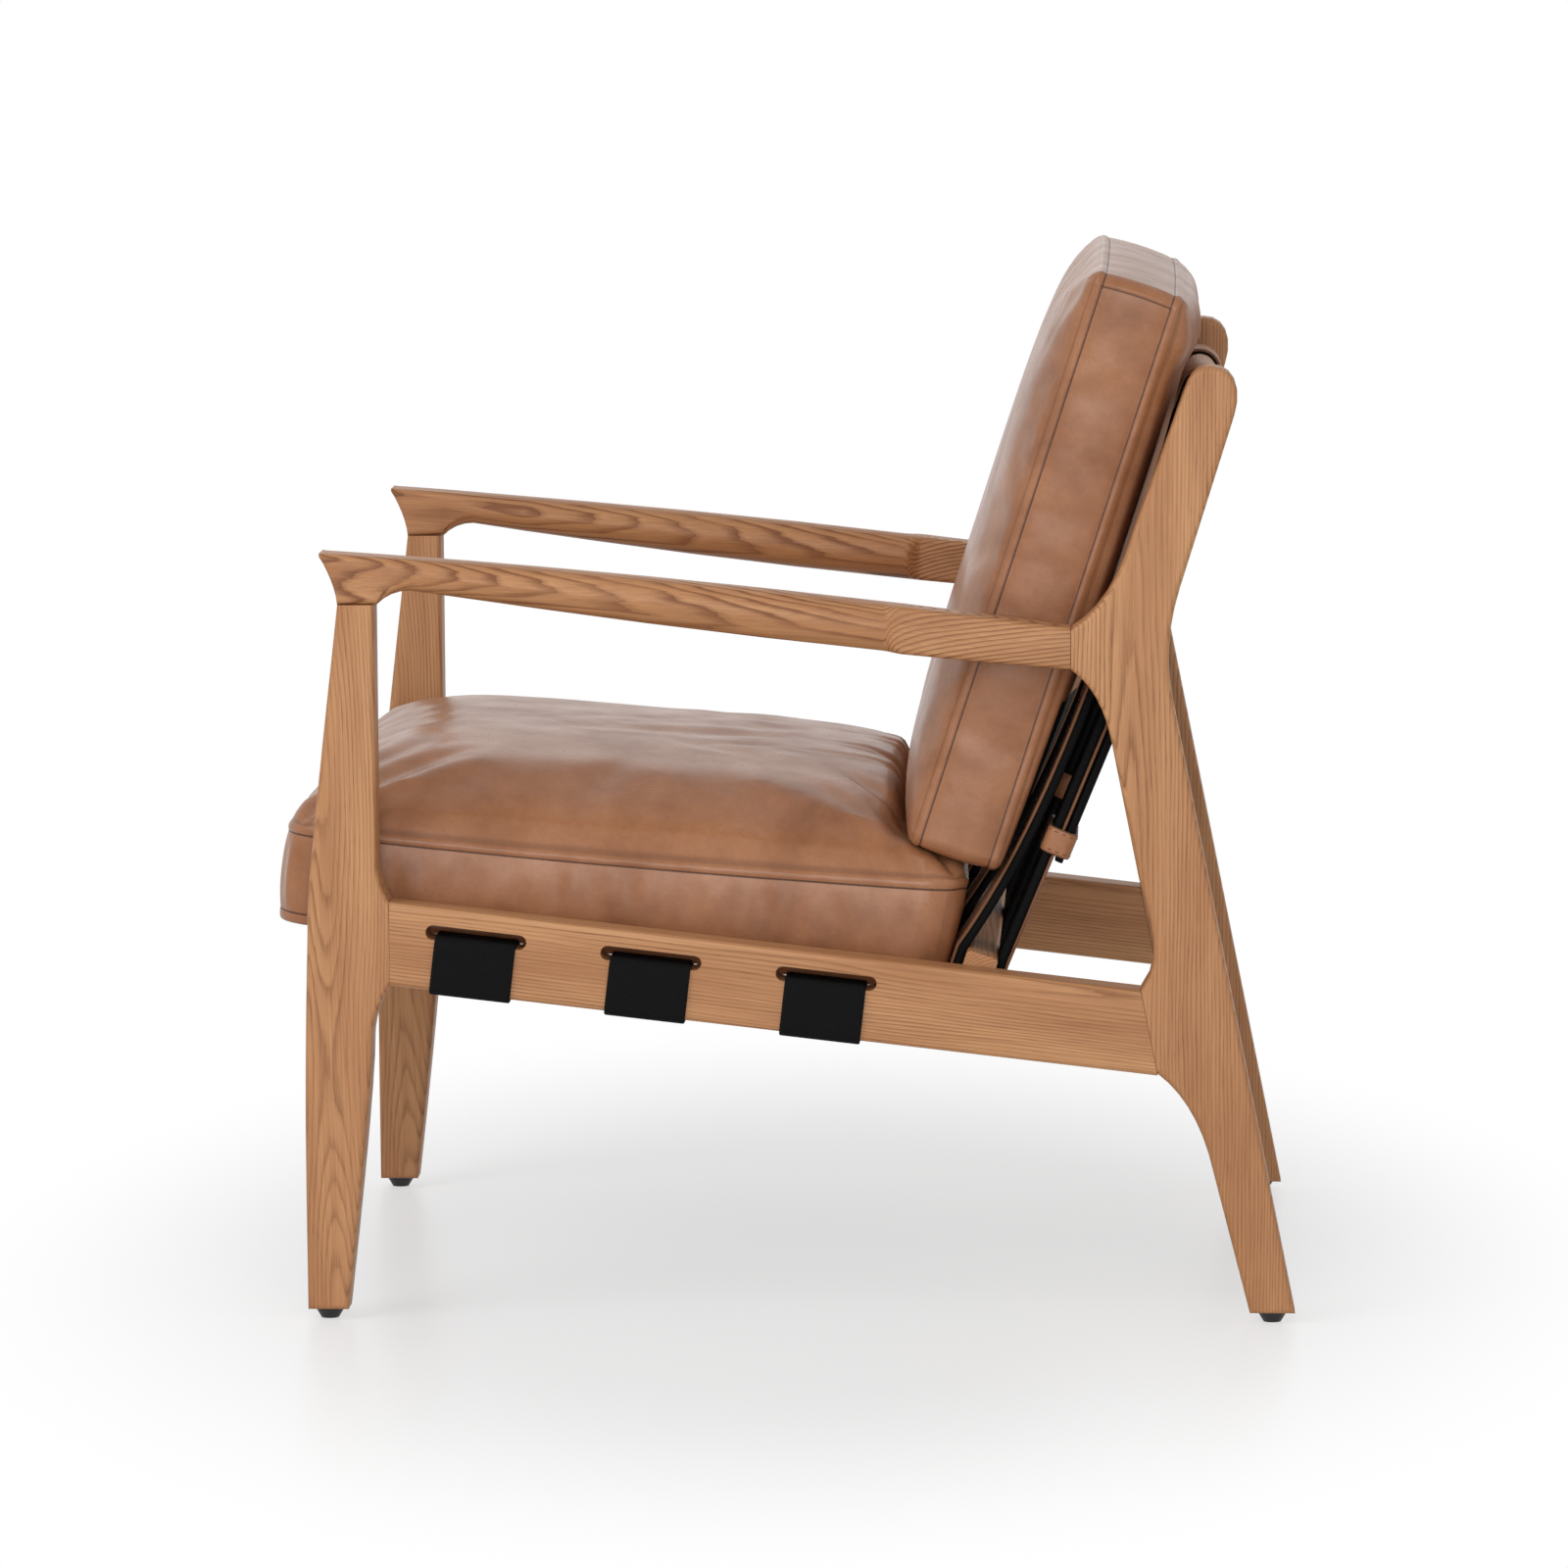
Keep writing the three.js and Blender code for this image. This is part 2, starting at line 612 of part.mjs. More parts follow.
// Skin over a row of closed sections, with flat ends
function loft(sections) {
  const count = sections[0].length
  const positions = sections.flat().flatMap((p) => [p.x, p.y, p.z])
  const index = []
  for (let row = 0; row + 1 < sections.length; row += 1) {
    for (let i = 0; i < count; i += 1) {
      const a = row * count + i
      const b = row * count + ((i + 1) % count)
      index.push(a, a + count, b, b, a + count, b + count)
    }
  }
  const last = (sections.length - 1) * count
  for (let i = 1; i + 1 < count; i += 1) {
    index.push(0, i, i + 1)
    index.push(last, last + i + 1, last + i)
  }
  const geometry = new THREE.BufferGeometry()
  geometry.setAttribute('position', new THREE.Float32BufferAttribute(positions, 3))
  geometry.setIndex(index)
  return geometry
}

function armSections() {
  const sections = []
  const horn = FRONT_TOP_Y - ARM_TIP_Y
  const hornRise = ARM_TIP_Z - ARM_LIP - ARM_SEAT_Z
  for (const rise of [1, 0.86, 0.7, 0.52, 0.34, 0.16]) {
    const y = FRONT_TOP_Y - horn * rise ** 1.55
    sections.push(armSection(y, armTop(y), ARM_SEAT_Z + hornRise * rise, ARM_ROUND))
  }
  const seatEnd = FRONT_TOP_Y + FRONT_TOP_DEPTH + 2
  for (const y of [FRONT_TOP_Y, seatEnd]) {
    sections.push(armSection(y, armTop(y), ARM_SEAT_Z, ARM_ROUND))
  }
  const throat = new THREE.QuadraticBezierCurve(
    new THREE.Vector2(seatEnd, ARM_SEAT_Z),
    new THREE.Vector2(lerp(seatEnd, ARM_THROAT_Y, 0.4), ARM_THROAT_Z),
    new THREE.Vector2(ARM_THROAT_Y, ARM_THROAT_Z),
  )
  for (const t of [0.25, 0.5, 0.75, 1]) {
    const point = throat.getPoint(t)
    sections.push(armSection(point.x, armTop(point.x), point.y, ARM_ROUND))
  }
  const blockStart = ARM_BLOCK_FRONT - ARM_BLOCK_BLEND
  for (const t of [0.12, 0.28, 0.5, 0.75, 1]) {
    const y = lerp(ARM_THROAT_Y, blockStart, t)
    sections.push(armSection(y, armTop(y), armUnder(y), ARM_ROUND))
  }
  const rearEnd = ARM_JOINT_Y - GLUE_GAP / 2
  const blockRows = [
    lerp(blockStart, ARM_BLOCK_FRONT, 0.35),
    lerp(blockStart, ARM_BLOCK_FRONT, 0.65),
    ARM_BLOCK_FRONT,
    lerp(ARM_BLOCK_FRONT, rearEnd, 0.45),
    rearEnd,
  ]
  for (const y of blockRows) {
    sections.push(armSection(y, armTop(y), armUnder(y), ARM_ROUND))
  }
  return sections
}

function makeArms() {
  const seatTrim = trimBlock(0, ARM_SEAT_Z - BIG / 2 + GLUE_GAP / 2, -2 * ARM_THROAT_Y, BIG)
  const frontTrim = common(seatTrim, trimBlock(FRONT_TOP_Y, 0, 4 * FRONT_TOP_DEPTH, 2 * BIG))
  const arm = cut(
    loft(armSections()),
    frontTrim,
    frontArmDowel(GLUE_GAP),
    rearArmDowel(1, GLUE_GAP),
    rearArmDowel(-1, GLUE_GAP),
  )
  addPair('armrest', arm, ASH)
  addPair('arm_front_dowel', frontArmDowel(0), DOWEL)
  addPair('arm_rear_dowel_upper', rearArmDowel(1, 0), DOWEL)
  addPair('arm_rear_dowel_lower', rearArmDowel(-1, 0), DOWEL)
}

// The seat lies in the slope of the rails, with its zero on top of the webbing
const SEAT_ANGLE = Math.atan(RAIL_SLOPE)
const SEAT_FRAME = new THREE.Matrix4()
  .makeRotationX(-SEAT_ANGLE)
  .setPosition(0, WEB_MIDDLE_Y, railTop(WEB_MIDDLE_Y) - WEB_DROP)
const RAIL_LOW_W = (WEB_DROP - RAIL_DEPTH) * Math.cos(SEAT_ANGLE)
const STRAPS = [
  ['front', -WEB_SPACING],
  ['middle', 0],
  ['rear', WEB_SPACING],
]

// Slot with round ends. The strap lies on its lower edge.
function railSlot(v) {
  const radius = SLOT_HEIGHT / 2
  const straight = SLOT_LENGTH / 2 - radius
  const shape = new THREE.Shape()
  shape.absarc(straight, 0, radius, -Math.PI / 2, Math.PI / 2, false)
  shape.absarc(-straight, 0, radius, Math.PI / 2, (3 * Math.PI) / 2, false)
  shape.closePath()
  const low = -WEB_THICKNESS - WEB_GAP
  return new THREE.ExtrudeGeometry(shape, { depth: 2 * MEMBER, bevelEnabled: false, curveSegments: 4 })
    .translate(0, 0, INNER - MEMBER / 2)
    .applyMatrix4(SIDE_VIEW)
    .translate(0, v, low + radius)
    .applyMatrix4(SEAT_FRAME)
}

function makeSideRails() {
  const front = RAIL_FRONT_Y - STUB
  const rear = RAIL_REAR_LOW_Y + STUB
  const outline = new THREE.Shape(
    points(
      [front, railBottom(front)],
      [rear, railBottom(rear)],
      [rear, railTop(rear)],
      [front, railTop(front)],
    ),
  )
  const keepRear = rearJointBlock(-GLUE_GAP / 2)
  const keepFront = trimBlock(RAIL_FRONT_Y + BIG / 2 + GLUE_GAP / 2, 0, BIG, 2 * BIG)
  const bar = common(common(slab(outline, INNER, MEMBER), keepRear), keepFront)
  const rail = cut(
    join(bar, railTenons(0)),
    ...STRAPS.map(([, v]) => railSlot(v)),
    placeBackRail(crossTenon(BACK_RAIL_DEPTH, GLUE_GAP)),
  )
  addPair('side_rail', rail, ASH)
}

function makeCrossRails() {
  const front = join(crossRail(FRONT_RAIL_DEPTH, EDGE), crossTenon(FRONT_RAIL_DEPTH, 0))
  addPart('front_rail', placeFrontRail(front), ASH)
  const back = join(crossRail(BACK_RAIL_DEPTH, EDGE), crossTenon(BACK_RAIL_DEPTH, 0))
  addPart('lower_back_rail', placeBackRail(back), ASH)
  const length = 2 * (INNER + CREST_SOCKET - GLUE_GAP)
  addPart('crest_dowel', rodAlongX(0, CREST_Y, CREST_Z, CREST_RADIUS, length), ASH)
}

// Glide: a tapered foot on a pin that is driven into the leg
function makeGlides() {
  const top = FOOT_Z - GLUE_GAP
  const profile = points(
    [0, 0],
    [GLIDE_BASE_RADIUS, 0],
    [GLIDE_TOP_RADIUS, top - 1.5],
    [GLIDE_TOP_RADIUS, top],
    [GLIDE_PIN_RADIUS, top],
    [GLIDE_PIN_RADIUS, top + GLIDE_PIN_LENGTH],
    [0, top + GLIDE_PIN_LENGTH],
  )
  const places = [
    ['front', FRONT_FOOT_MIDDLE],
    ['rear', REAR_FOOT_MIDDLE],
  ]
  for (const [name, y] of places) {
    const glide = new THREE.LatheGeometry(profile, 16).rotateX(Math.PI / 2)
    addPair(`glide_${name}`, glide.translate(MEMBER_MIDDLE, y, 0), BLACK_PLASTIC)
  }
}

// Seat strap: one run across, and a loop round the lower part of each rail
function makeSeatWebbing(seat) {
  const low = RAIL_LOW_W - WEB_GAP
  const holeOut = OUTER + WEB_GAP
  const holeIn = INNER - WEB_GAP
  const out = holeOut + WEB_THICKNESS
  const inn = holeIn - WEB_THICKNESS
  const under = low - WEB_THICKNESS
  const corners = points(
    [-out, 0],
    [-out, under],
    [-inn, under],
    [-inn, -WEB_THICKNESS],
    [inn, -WEB_THICKNESS],
    [inn, under],
    [out, under],
    [out, 0],
  )
  for (const [name, v] of STRAPS) {
    const shape = easedPolygon(corners, WEB_THICKNESS - 0.5)
    for (const side of [-1, 1]) {
      const hole = new THREE.Path()
      hole.moveTo(side * holeIn, low)
      hole.lineTo(side * holeOut, low)
      hole.lineTo(side * holeOut, -WEB_THICKNESS)
      hole.lineTo(side * holeIn, -WEB_THICKNESS)
      hole.closePath()
      shape.holes.push(hole)
    }
    const strap = new THREE.ExtrudeGeometry(shape, {
      depth: WEB_WIDTH,
      bevelEnabled: false,
      curveSegments: 2,
    })
      .translate(0, 0, -WEB_WIDTH / 2)
      .applyMatrix4(FRONT_VIEW)
      .translate(0, v, 0)
    addPart(`seat_webbing_${name}`, strap, BLACK_FABRIC, seat)
  }
}

// Plan outline of a cushion: a rectangle with round corners whose sides draw in
function cushionOutline(halfU, halfV, corner) {
  const outline = []
  const arcSteps = 4
  const sideSteps = 5
  const corners = [
    [1, 1, 0],
    [-1, 1, Math.PI / 2],
    [-1, -1, Math.PI],
    [1, -1, (3 * Math.PI) / 2],
  ]
  corners.forEach(([su, sv, start], i) => {
    const cu = su * (halfU - corner)
    const cv = sv * (halfV - corner)
    for (let k = 0; k <= arcSteps; k += 1) {
      const angle = start + (k / arcSteps) * (Math.PI / 2)
      outline.push(
        new THREE.Vector2(cu + corner * Math.cos(angle), cv + corner * Math.sin(angle)),
      )
    }
    const from = outline[outline.length - 1]
    const [nu, nv] = corners[(i + 1) % 4]
    const alongU = i % 2 === 0
    const to = alongU
      ? new THREE.Vector2(nu * (halfU - corner), from.y)
      : new THREE.Vector2(from.x, nv * (halfV - corner))
    for (let k = 1; k < sideSteps; k += 1) {
      const point = from.clone().lerp(to, k / sideSteps)
      const pull = SIDE_PULL * Math.sin((Math.PI * k) / sideSteps)
      if (alongU) point.y -= Math.sign(point.y) * pull
      else point.x -= Math.sign(point.x) * pull
      outline.push(point)
    }
  })
  return outline
}

// A box cushion: a sewn band between two panels, each with its own crown. Thickness runs along w.
function cushion({ halfU, low, high, corner, bandFrom, bandTo, crownLow, crownHigh, reshape, inset }) {
  const halfV = (high - low) / 2 - inset
  const outline = cushionOutline(halfU - inset, halfV, corner - inset)
  const from = bandFrom + inset
  const to = bandTo - inset
  const puff = (scale) => (1 - scale ** 4) ** 0.45
  const scales = [0.985, 0.94, 0.86, 0.72, 0.5, 0.24]
  const lowRings = crownLow > 0 ? [...scales].reverse() : [0.5, 0.8, 0.85, 0.9, 0.96]
  const rings = [
    ...lowRings.map((scale) => [scale, 0, from - crownLow * puff(scale)]),
    [1, 0, from],
    [1, BAND_SWELL, (from + to) / 2],
    [1, 0, to],
    ...scales.map((scale) => [scale, 0, to + crownHigh * puff(scale)]),
  ]
  const positions = []
  const place = (u, v, w) => {
    const p = reshape(new THREE.Vector3(u, v + (low + high) / 2, w))
    positions.push(p.x, p.y, p.z)
  }
  place(0, 0, from - crownLow)
  for (const [scale, swell, w] of rings) {
    for (const point of outline) {
      const grow = 1 + swell / point.length()
      place(point.x * scale * grow, point.y * scale * grow, w)
    }
  }
  place(0, 0, to + crownHigh)
  const count = outline.length
  const index = []
  for (let i = 0; i < count; i += 1) {
    const next = (i + 1) % count
    index.push(0, 1 + next, 1 + i)
    for (let row = 0; row + 1 < rings.length; row += 1) {
      const a = 1 + row * count
      index.push(a + i, a + next, a + count + i)
      index.push(a + next, a + count + next, a + count + i)
    }
    const top = 1 + (rings.length - 1) * count
    index.push(top + i, top + next, top + count)
  }
  const geometry = new THREE.BufferGeometry()
  geometry.setAttribute('position', new THREE.Float32BufferAttribute(positions, 3))
  geometry.setIndex(index)
  return geometry
}

// Cover with a window, the panel that fills the window, and the foam inside
function cushionParts(sizes, window, panelWindow) {
  const skin = cushion({ ...sizes, inset: 0 })
  const lining = cushion({ ...sizes, inset: COVER })
  return {
    cover: cut(skin, lining, window),
    panel: cut(common(skin, panelWindow), lining),
    core: cushion({ ...sizes, inset: COVER + FOAM_GAP }),
  }
}

function makeSeatCushion(seat) {
  const lipRear = SEAT_FRONT + SEAT_LIP_LENGTH
  const tuckFrom = SEAT_REAR - SEAT_TUCK_LENGTH
  const sizes = {
    halfU: SEAT_HALF_WIDTH,
    low: SEAT_FRONT,
    high: SEAT_REAR,
    corner: SEAT_CORNER,
    bandFrom: GLUE_GAP,
    bandTo: SEAT_BAND,
    crownLow: 0,
    crownHigh: SEAT_CROWN,
    reshape: (p) => {
      const share = clamp(p.z / SEAT_BAND, 0, 1)
      const crown = Math.max(0, p.z - SEAT_BAND)
      const along = mapLinear(p.y, SEAT_FRONT, SEAT_REAR, 0, 1)
      const lip = smoothstep(lipRear - p.y, 0, SEAT_LIP_BLEND)
      const tuck = Math.max(0, mapLinear(p.y, tuckFrom, SEAT_REAR, 0, 1))
      p.z -= SEAT_PRESS * crown * smoothstep(p.y, SEAT_PRESS_FROM, SEAT_PRESS_TO)
      p.z += SEAT_RISE * share * along ** 2 - SEAT_LIP * (1 - share) * lip
      p.y -= SEAT_TUCK * tuck * (1 - share)
      return p
    },
  }
  const window = (gap) => {
    const width = 2 * (SEAT_HALF_WIDTH - SEAT_RIM - gap)
    const from = lipRear + gap
    const to = SEAT_REAR - SEAT_RIM - gap
    return block(0, (from + to) / 2, 0, width, to - from, SEAT_BAND / 2)
  }
  const parts = cushionParts(sizes, window(0), window(PANEL_GAP))
  addPart('seat_cushion_cover', parts.cover, TAN_LEATHER, seat)
  addPart('seat_cushion_underside', parts.panel, BLACK_FABRIC, seat)
  addPart('seat_cushion_foam', parts.core, FOAM, seat)
}

// The back cushion is drawn lying down: v runs up its slope and w points to its front
const BACK_FRAME = new THREE.Matrix4().makeRotationX(Math.PI / 2 - BACK_LEAN)

function makeBackCushion(back) {
  const middle = (BACK_LOW + BACK_HIGH) / 2
  const halfHeight = BACK_HIGH - middle
  const rearOfBand = -BACK_FRONT - BACK_BAND
  const sizes = {
    halfU: BACK_HALF_WIDTH,
    low: BACK_LOW,
    high: BACK_HIGH,
    corner: BACK_CORNER,
    bandFrom: rearOfBand,
    bandTo: -BACK_FRONT,
    crownLow: BACK_CROWN_REAR,
    crownHigh: BACK_CROWN_FRONT,
    reshape: (p) => {
      const up = Math.max(0, (p.y - middle) / halfHeight)
      const across = Math.min(1, Math.abs(p.x) / BACK_HALF_WIDTH)
      p.y += BACK_CROWN_TOP * up ** 4 * (1 - across ** 4)
      const down = Math.max(0, (middle - p.y) / halfHeight)
      const behind = Math.max(0, rearOfBand - p.z)
      p.z += BACK_REAR_TAPER * down * behind
      return p
    },
  }
  const window = (gap) => {
    const width = 2 * (BACK_HALF_WIDTH - 2 * BACK_RIM - gap)
    const from = BACK_LOW + BACK_RIM + gap
    const to = BACK_PANEL_TOP - gap
    const depth = 2 * BACK_CROWN_REAR
    return block(0, (from + to) / 2, rearOfBand - BACK_RIM / 2 - depth / 2, width, to - from, depth)
  }
  const parts = cushionParts(sizes, window(0), window(PANEL_GAP))
  addPart('back_cushion_cover', parts.cover, TAN_LEATHER, back)
  addPart('back_cushion_rear_panel', parts.panel, BLACK_FABRIC, back)
  addPart('back_cushion_foam', parts.core, FOAM, back)
}

// Belt route in the side view: up the rear, over the crest dowel, down the front,
// round the lower back rail and up again
const turned = (a, angle) => new THREE.Vector2(Math.cos(angle), Math.sin(angle)).multiplyScalar(a)

function arc(centre, radius, from, to, steps) {
  const result = []
  for (let i = 0; i <= steps; i += 1) {
    result.push(centre.clone().add(turned(radius, from + ((to - from) * i) / steps)))
  }
  return result
}

const BELT_INNER = GLUE_GAP + 0.1
const RAIL_UP = new THREE.Vector2(Math.sin(BACK_LEAN), Math.cos(BACK_LEAN))
const RAIL_BACK = new THREE.Vector2(Math.cos(BACK_LEAN), -Math.sin(BACK_LEAN))
const BELT_ROUND = EDGE + BELT_INNER

function railCorner(back, up) {
  const half = CROSS_THICKNESS / 2 - EDGE
  return new THREE.Vector2(BACK_RAIL_Y, BACK_RAIL_Z)
    .addScaledVector(RAIL_BACK, back * half)
    .addScaledVector(RAIL_UP, up === 1 ? -EDGE : EDGE - BACK_RAIL_DEPTH)
}

// Straight run that touches the crest dowel and one upper corner of the lower rail
const CREST = new THREE.Vector2(CREST_Y, CREST_Z)
const CREST_WRAP = CREST_RADIUS + BELT_INNER

function tangentAngle(corner, side) {
  const span = CREST.clone().sub(corner)
  const swing = Math.asin((CREST_WRAP - BELT_ROUND) / span.length())
  return span.angle() - side * (Math.PI / 2 + swing)
}

const REAR_LENGTH = CREST.distanceTo(railCorner(1, 1))
const STRAIGHT_ANGLE = tangentAngle(railCorner(1, 1), 1)
const REAR_ANGLE = STRAIGHT_ANGLE - Math.atan(SLIDE_BOW / SLIDE_AT)
const REAR_TOP_ANGLE = STRAIGHT_ANGLE + Math.atan(SLIDE_BOW / (REAR_LENGTH - SLIDE_AT))
const FRONT_ANGLE = tangentAngle(railCorner(-1, 1), -1)
const REAR_LOW = railCorner(1, 1).add(turned(BELT_ROUND, REAR_ANGLE))
const REAR_OUT = turned(1, REAR_ANGLE)
const REAR_UP = new THREE.Vector2(-REAR_OUT.y, REAR_OUT.x)

function onRearRun(up, out) {
  return REAR_LOW.clone().addScaledVector(REAR_UP, up).addScaledVector(REAR_OUT, out)
}

const LEATHER_OUT = WEBBING + LAYER_GAP + LEATHER
const BAR_WRAP = SLIDE_ROD + LAYER_GAP

// Places of the slide's three bars, outwards from the webbing
const TOP_BAR_OUT = LEATHER_OUT - LEATHER - BAR_WRAP
const LOW_BAR_OUT = 2 * WEBBING + LAYER_GAP + BAR_WRAP + SLIDE_EASE
const MIDDLE_BAR_OUT = (TOP_BAR_OUT + LOW_BAR_OUT) / 2
const LEATHER_END = SLIDE_AT - 3 * SLIDE_PITCH

// Outer face of the hanging tail
const TAIL_STANDOFF = LEATHER_OUT + WEBBING + TAIL_EASE

// The route at a given distance outside the webbing's inner face
function beltLoop(out) {
  const railRadius = BELT_ROUND + out
  const crestRadius = CREST_WRAP + out
  const railAngle = -BACK_LEAN
  const runLength = CREST.distanceTo(railCorner(-1, 1))
  const topAngle = FRONT_ANGLE + Math.atan((2 * BELT_GIVE) / (BOW_AT * runLength))
  const lowAngle = FRONT_ANGLE - Math.atan((2 * BELT_GIVE) / ((1 - BOW_AT) * runLength))
  const frontTop = CREST.clone().add(turned(crestRadius, topAngle))
  const frontLow = railCorner(-1, 1).add(turned(railRadius, lowAngle))
  const bow = frontTop.clone().lerp(frontLow, BOW_AT)
  bow.addScaledVector(turned(1, FRONT_ANGLE), -2 * BELT_GIVE)
  const frontRun = new THREE.QuadraticBezierCurve(frontTop, bow, frontLow)
  const rearTop = CREST.clone().add(turned(crestRadius, REAR_TOP_ANGLE))
  const foldShare = (FOLD_LENGTH + SLIDE_PITCH / 2) / (REAR_LENGTH - SLIDE_AT)
  return [
    onRearRun(SLIDE_AT, out).lerp(rearTop, foldShare),
    ...arc(CREST, crestRadius, REAR_TOP_ANGLE, topAngle, 8),
    ...frontRun.getPoints(7).slice(1),
    ...arc(railCorner(-1, 1), railRadius, lowAngle, railAngle + Math.PI, 1).slice(1),
    ...arc(railCorner(-1, -1), railRadius, railAngle + Math.PI, railAngle + 1.5 * Math.PI, 4),
    ...arc(railCorner(1, -1), railRadius, railAngle - Math.PI / 2, railAngle, 4),
    onRearRun(0, out),
    onRearRun(LEATHER_END, out),
  ]
}

// A strap of the given thickness to the right of its route, or to the left where it is negative
function strapGeometry(route, thickness, width) {
  const other = route.map((point, i) => {
    const along = route[Math.min(i + 1, route.length - 1)].clone().sub(route[Math.max(i - 1, 0)])
    along.normalize()
    return point.clone().add(new THREE.Vector2(along.y, -along.x).multiplyScalar(thickness))
  })
  return slab(new THREE.Shape([...route, ...other.reverse()]), -width / 2, width, 0)
}

function leatherRoute() {
  const turn = onRearRun(SLIDE_AT, TOP_BAR_OUT)
  const radius = BAR_WRAP + LEATHER
  const inside = TOP_BAR_OUT - radius
  return [
    onRearRun(SLIDE_AT + FOLD_LENGTH, inside),
    ...arc(turn, radius, REAR_ANGLE - Math.PI, REAR_ANGLE, 6),
    ...beltLoop(LEATHER_OUT),
  ]
}

function webbingRoute() {
  const turn = onRearRun(SLIDE_AT - SLIDE_PITCH, MIDDLE_BAR_OUT)
  const radius = BAR_WRAP + WEBBING
  const lowBar = SLIDE_AT - 2 * SLIDE_PITCH
  return [
    ...beltLoop(0),
    ...arc(turn, radius, REAR_ANGLE + Math.PI, REAR_ANGLE, 6),
    onRearRun(lowBar, LOW_BAR_OUT - BAR_WRAP),
    onRearRun(LEATHER_END, TAIL_STANDOFF + TAIL_BULGE),
    onRearRun(LEATHER_END - 2 * SLIDE_PITCH, TAIL_STANDOFF),
    onRearRun(TAIL_TIP_AT, TAIL_STANDOFF),
  ]
}

// Slide: three bars between two side rods
function slideGeometry() {
  const length = BELT_WIDTH + 4 * SLIDE_ROD + 2
  const reach = length / 2 - SLIDE_ROD
  const bars = [TOP_BAR_OUT, MIDDLE_BAR_OUT, LOW_BAR_OUT].map((out, i) => {
    const place = onRearRun(SLIDE_AT - i * SLIDE_PITCH, out)
    return rodAlongX(0, place.x, place.y, SLIDE_ROD, length, 8)
  })
  const top = onRearRun(SLIDE_AT, TOP_BAR_OUT)
  const low = onRearRun(SLIDE_AT - 2 * SLIDE_PITCH, LOW_BAR_OUT)
  const span = top.clone().sub(low)
  const middle = top.clone().lerp(low, 0.5)
  const sides = [-1, 1].map((side) =>
    new THREE.CylinderGeometry(SLIDE_ROD, SLIDE_ROD, span.length() + 2 * SLIDE_ROD, 8)
      .rotateX(span.angle())
      .translate(side * reach, middle.x, middle.y),
  )
  return join(...bars, ...sides)
}

// Keeper: a leather ring round the belt and its tail
function keeperGeometry(at) {
  const half = BELT_WIDTH / 2 + LAYER_GAP + 0.5
  const near = -KEEPER_SLACK
  const far = TAIL_STANDOFF + LAYER_GAP
  const ring = (grow) =>
    points(
      [-half - grow, near - grow],
      [half + grow, near - grow],
      [half + grow, far + grow],
      [-half - grow, far + grow],
    )
  const shape = easedPolygon(ring(KEEPER_WALL), 0.8 * KEEPER_WALL)
  const hole = new THREE.Path(ring(0))
  hole.closePath()
  shape.holes.push(hole)
  const place = onRearRun(at, 0)
  const axes = new THREE.Matrix4()
    .makeBasis(
      AXIS_X,
      new THREE.Vector3(0, REAR_OUT.x, REAR_OUT.y),
      new THREE.Vector3(0, REAR_UP.x, REAR_UP.y),
    )
    .setPosition(0, place.x, place.y)
  return new THREE.ExtrudeGeometry(shape, { depth: KEEPER_HEIGHT, bevelEnabled: false, curveSegments: 2 })
    .translate(0, 0, -KEEPER_HEIGHT / 2)
    .applyMatrix4(axes)
}

function makeBelts() {
  const leather = strapGeometry(leatherRoute(), -LEATHER, BELT_WIDTH)
  const webbing = strapGeometry(webbingRoute(), WEBBING, BELT_WIDTH)
  const slide = slideGeometry()
  const places = [
    ['left', BELT_SPACING],
    ['middle', 0],
    ['right', -BELT_SPACING],
  ]
  places.forEach(([name, x], i) => {
    const keeper = keeperGeometry(KEEPER_AT + i * KEEPER_STAGGER)
    addPart(`belt_leather_${name}`, leather.clone().translate(x, 0, 0), TAN_LEATHER)
    addPart(`belt_webbing_${name}`, webbing.clone().translate(x, 0, 0), BLACK_FABRIC)
    addPart(`belt_slide_${name}`, slide.clone().translate(x, 0, 0), DARK_METAL)
    addPart(`belt_keeper_${name}`, keeper.translate(x, 0, 0), TAN_LEATHER)
  })
}

makeLegs()
makeArms()
makeSideRails()
makeCrossRails()
makeGlides()

const seat = new THREE.Group()
seat.applyMatrix4(SEAT_FRAME)
chair.add(seat)
makeSeatWebbing(seat)
makeSeatCushion(seat)

const back = new THREE.Group()
back.applyMatrix4(BACK_FRAME)
chair.add(back)
makeBackCushion(back)
makeBelts()

export default chair
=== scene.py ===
# Lounge armchair, dressed: oiled ash frame, tan leather cushions, black webbing and belted back.
# Metres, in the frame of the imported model. The chair faces -Y, +X is the sitter's left and Z is up.
import math
import random

import bmesh
import bpy
import numpy as np
from mathutils import Matrix, Vector


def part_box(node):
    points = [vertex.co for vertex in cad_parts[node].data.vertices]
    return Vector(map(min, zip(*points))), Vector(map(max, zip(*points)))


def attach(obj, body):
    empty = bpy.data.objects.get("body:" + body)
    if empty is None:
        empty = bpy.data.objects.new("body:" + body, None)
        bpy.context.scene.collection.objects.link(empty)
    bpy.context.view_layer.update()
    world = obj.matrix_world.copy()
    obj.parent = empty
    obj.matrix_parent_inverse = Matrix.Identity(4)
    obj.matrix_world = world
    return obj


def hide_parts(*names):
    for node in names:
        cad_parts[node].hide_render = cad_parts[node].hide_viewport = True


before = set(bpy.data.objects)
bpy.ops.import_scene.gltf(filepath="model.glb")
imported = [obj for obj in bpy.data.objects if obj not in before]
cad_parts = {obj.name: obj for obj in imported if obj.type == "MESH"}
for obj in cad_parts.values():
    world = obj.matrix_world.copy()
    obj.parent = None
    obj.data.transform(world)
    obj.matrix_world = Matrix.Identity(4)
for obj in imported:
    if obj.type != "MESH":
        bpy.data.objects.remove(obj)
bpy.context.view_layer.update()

# Camera
CAMERA_PLACE = Vector((6.9248, 0.2572, 1.1032))
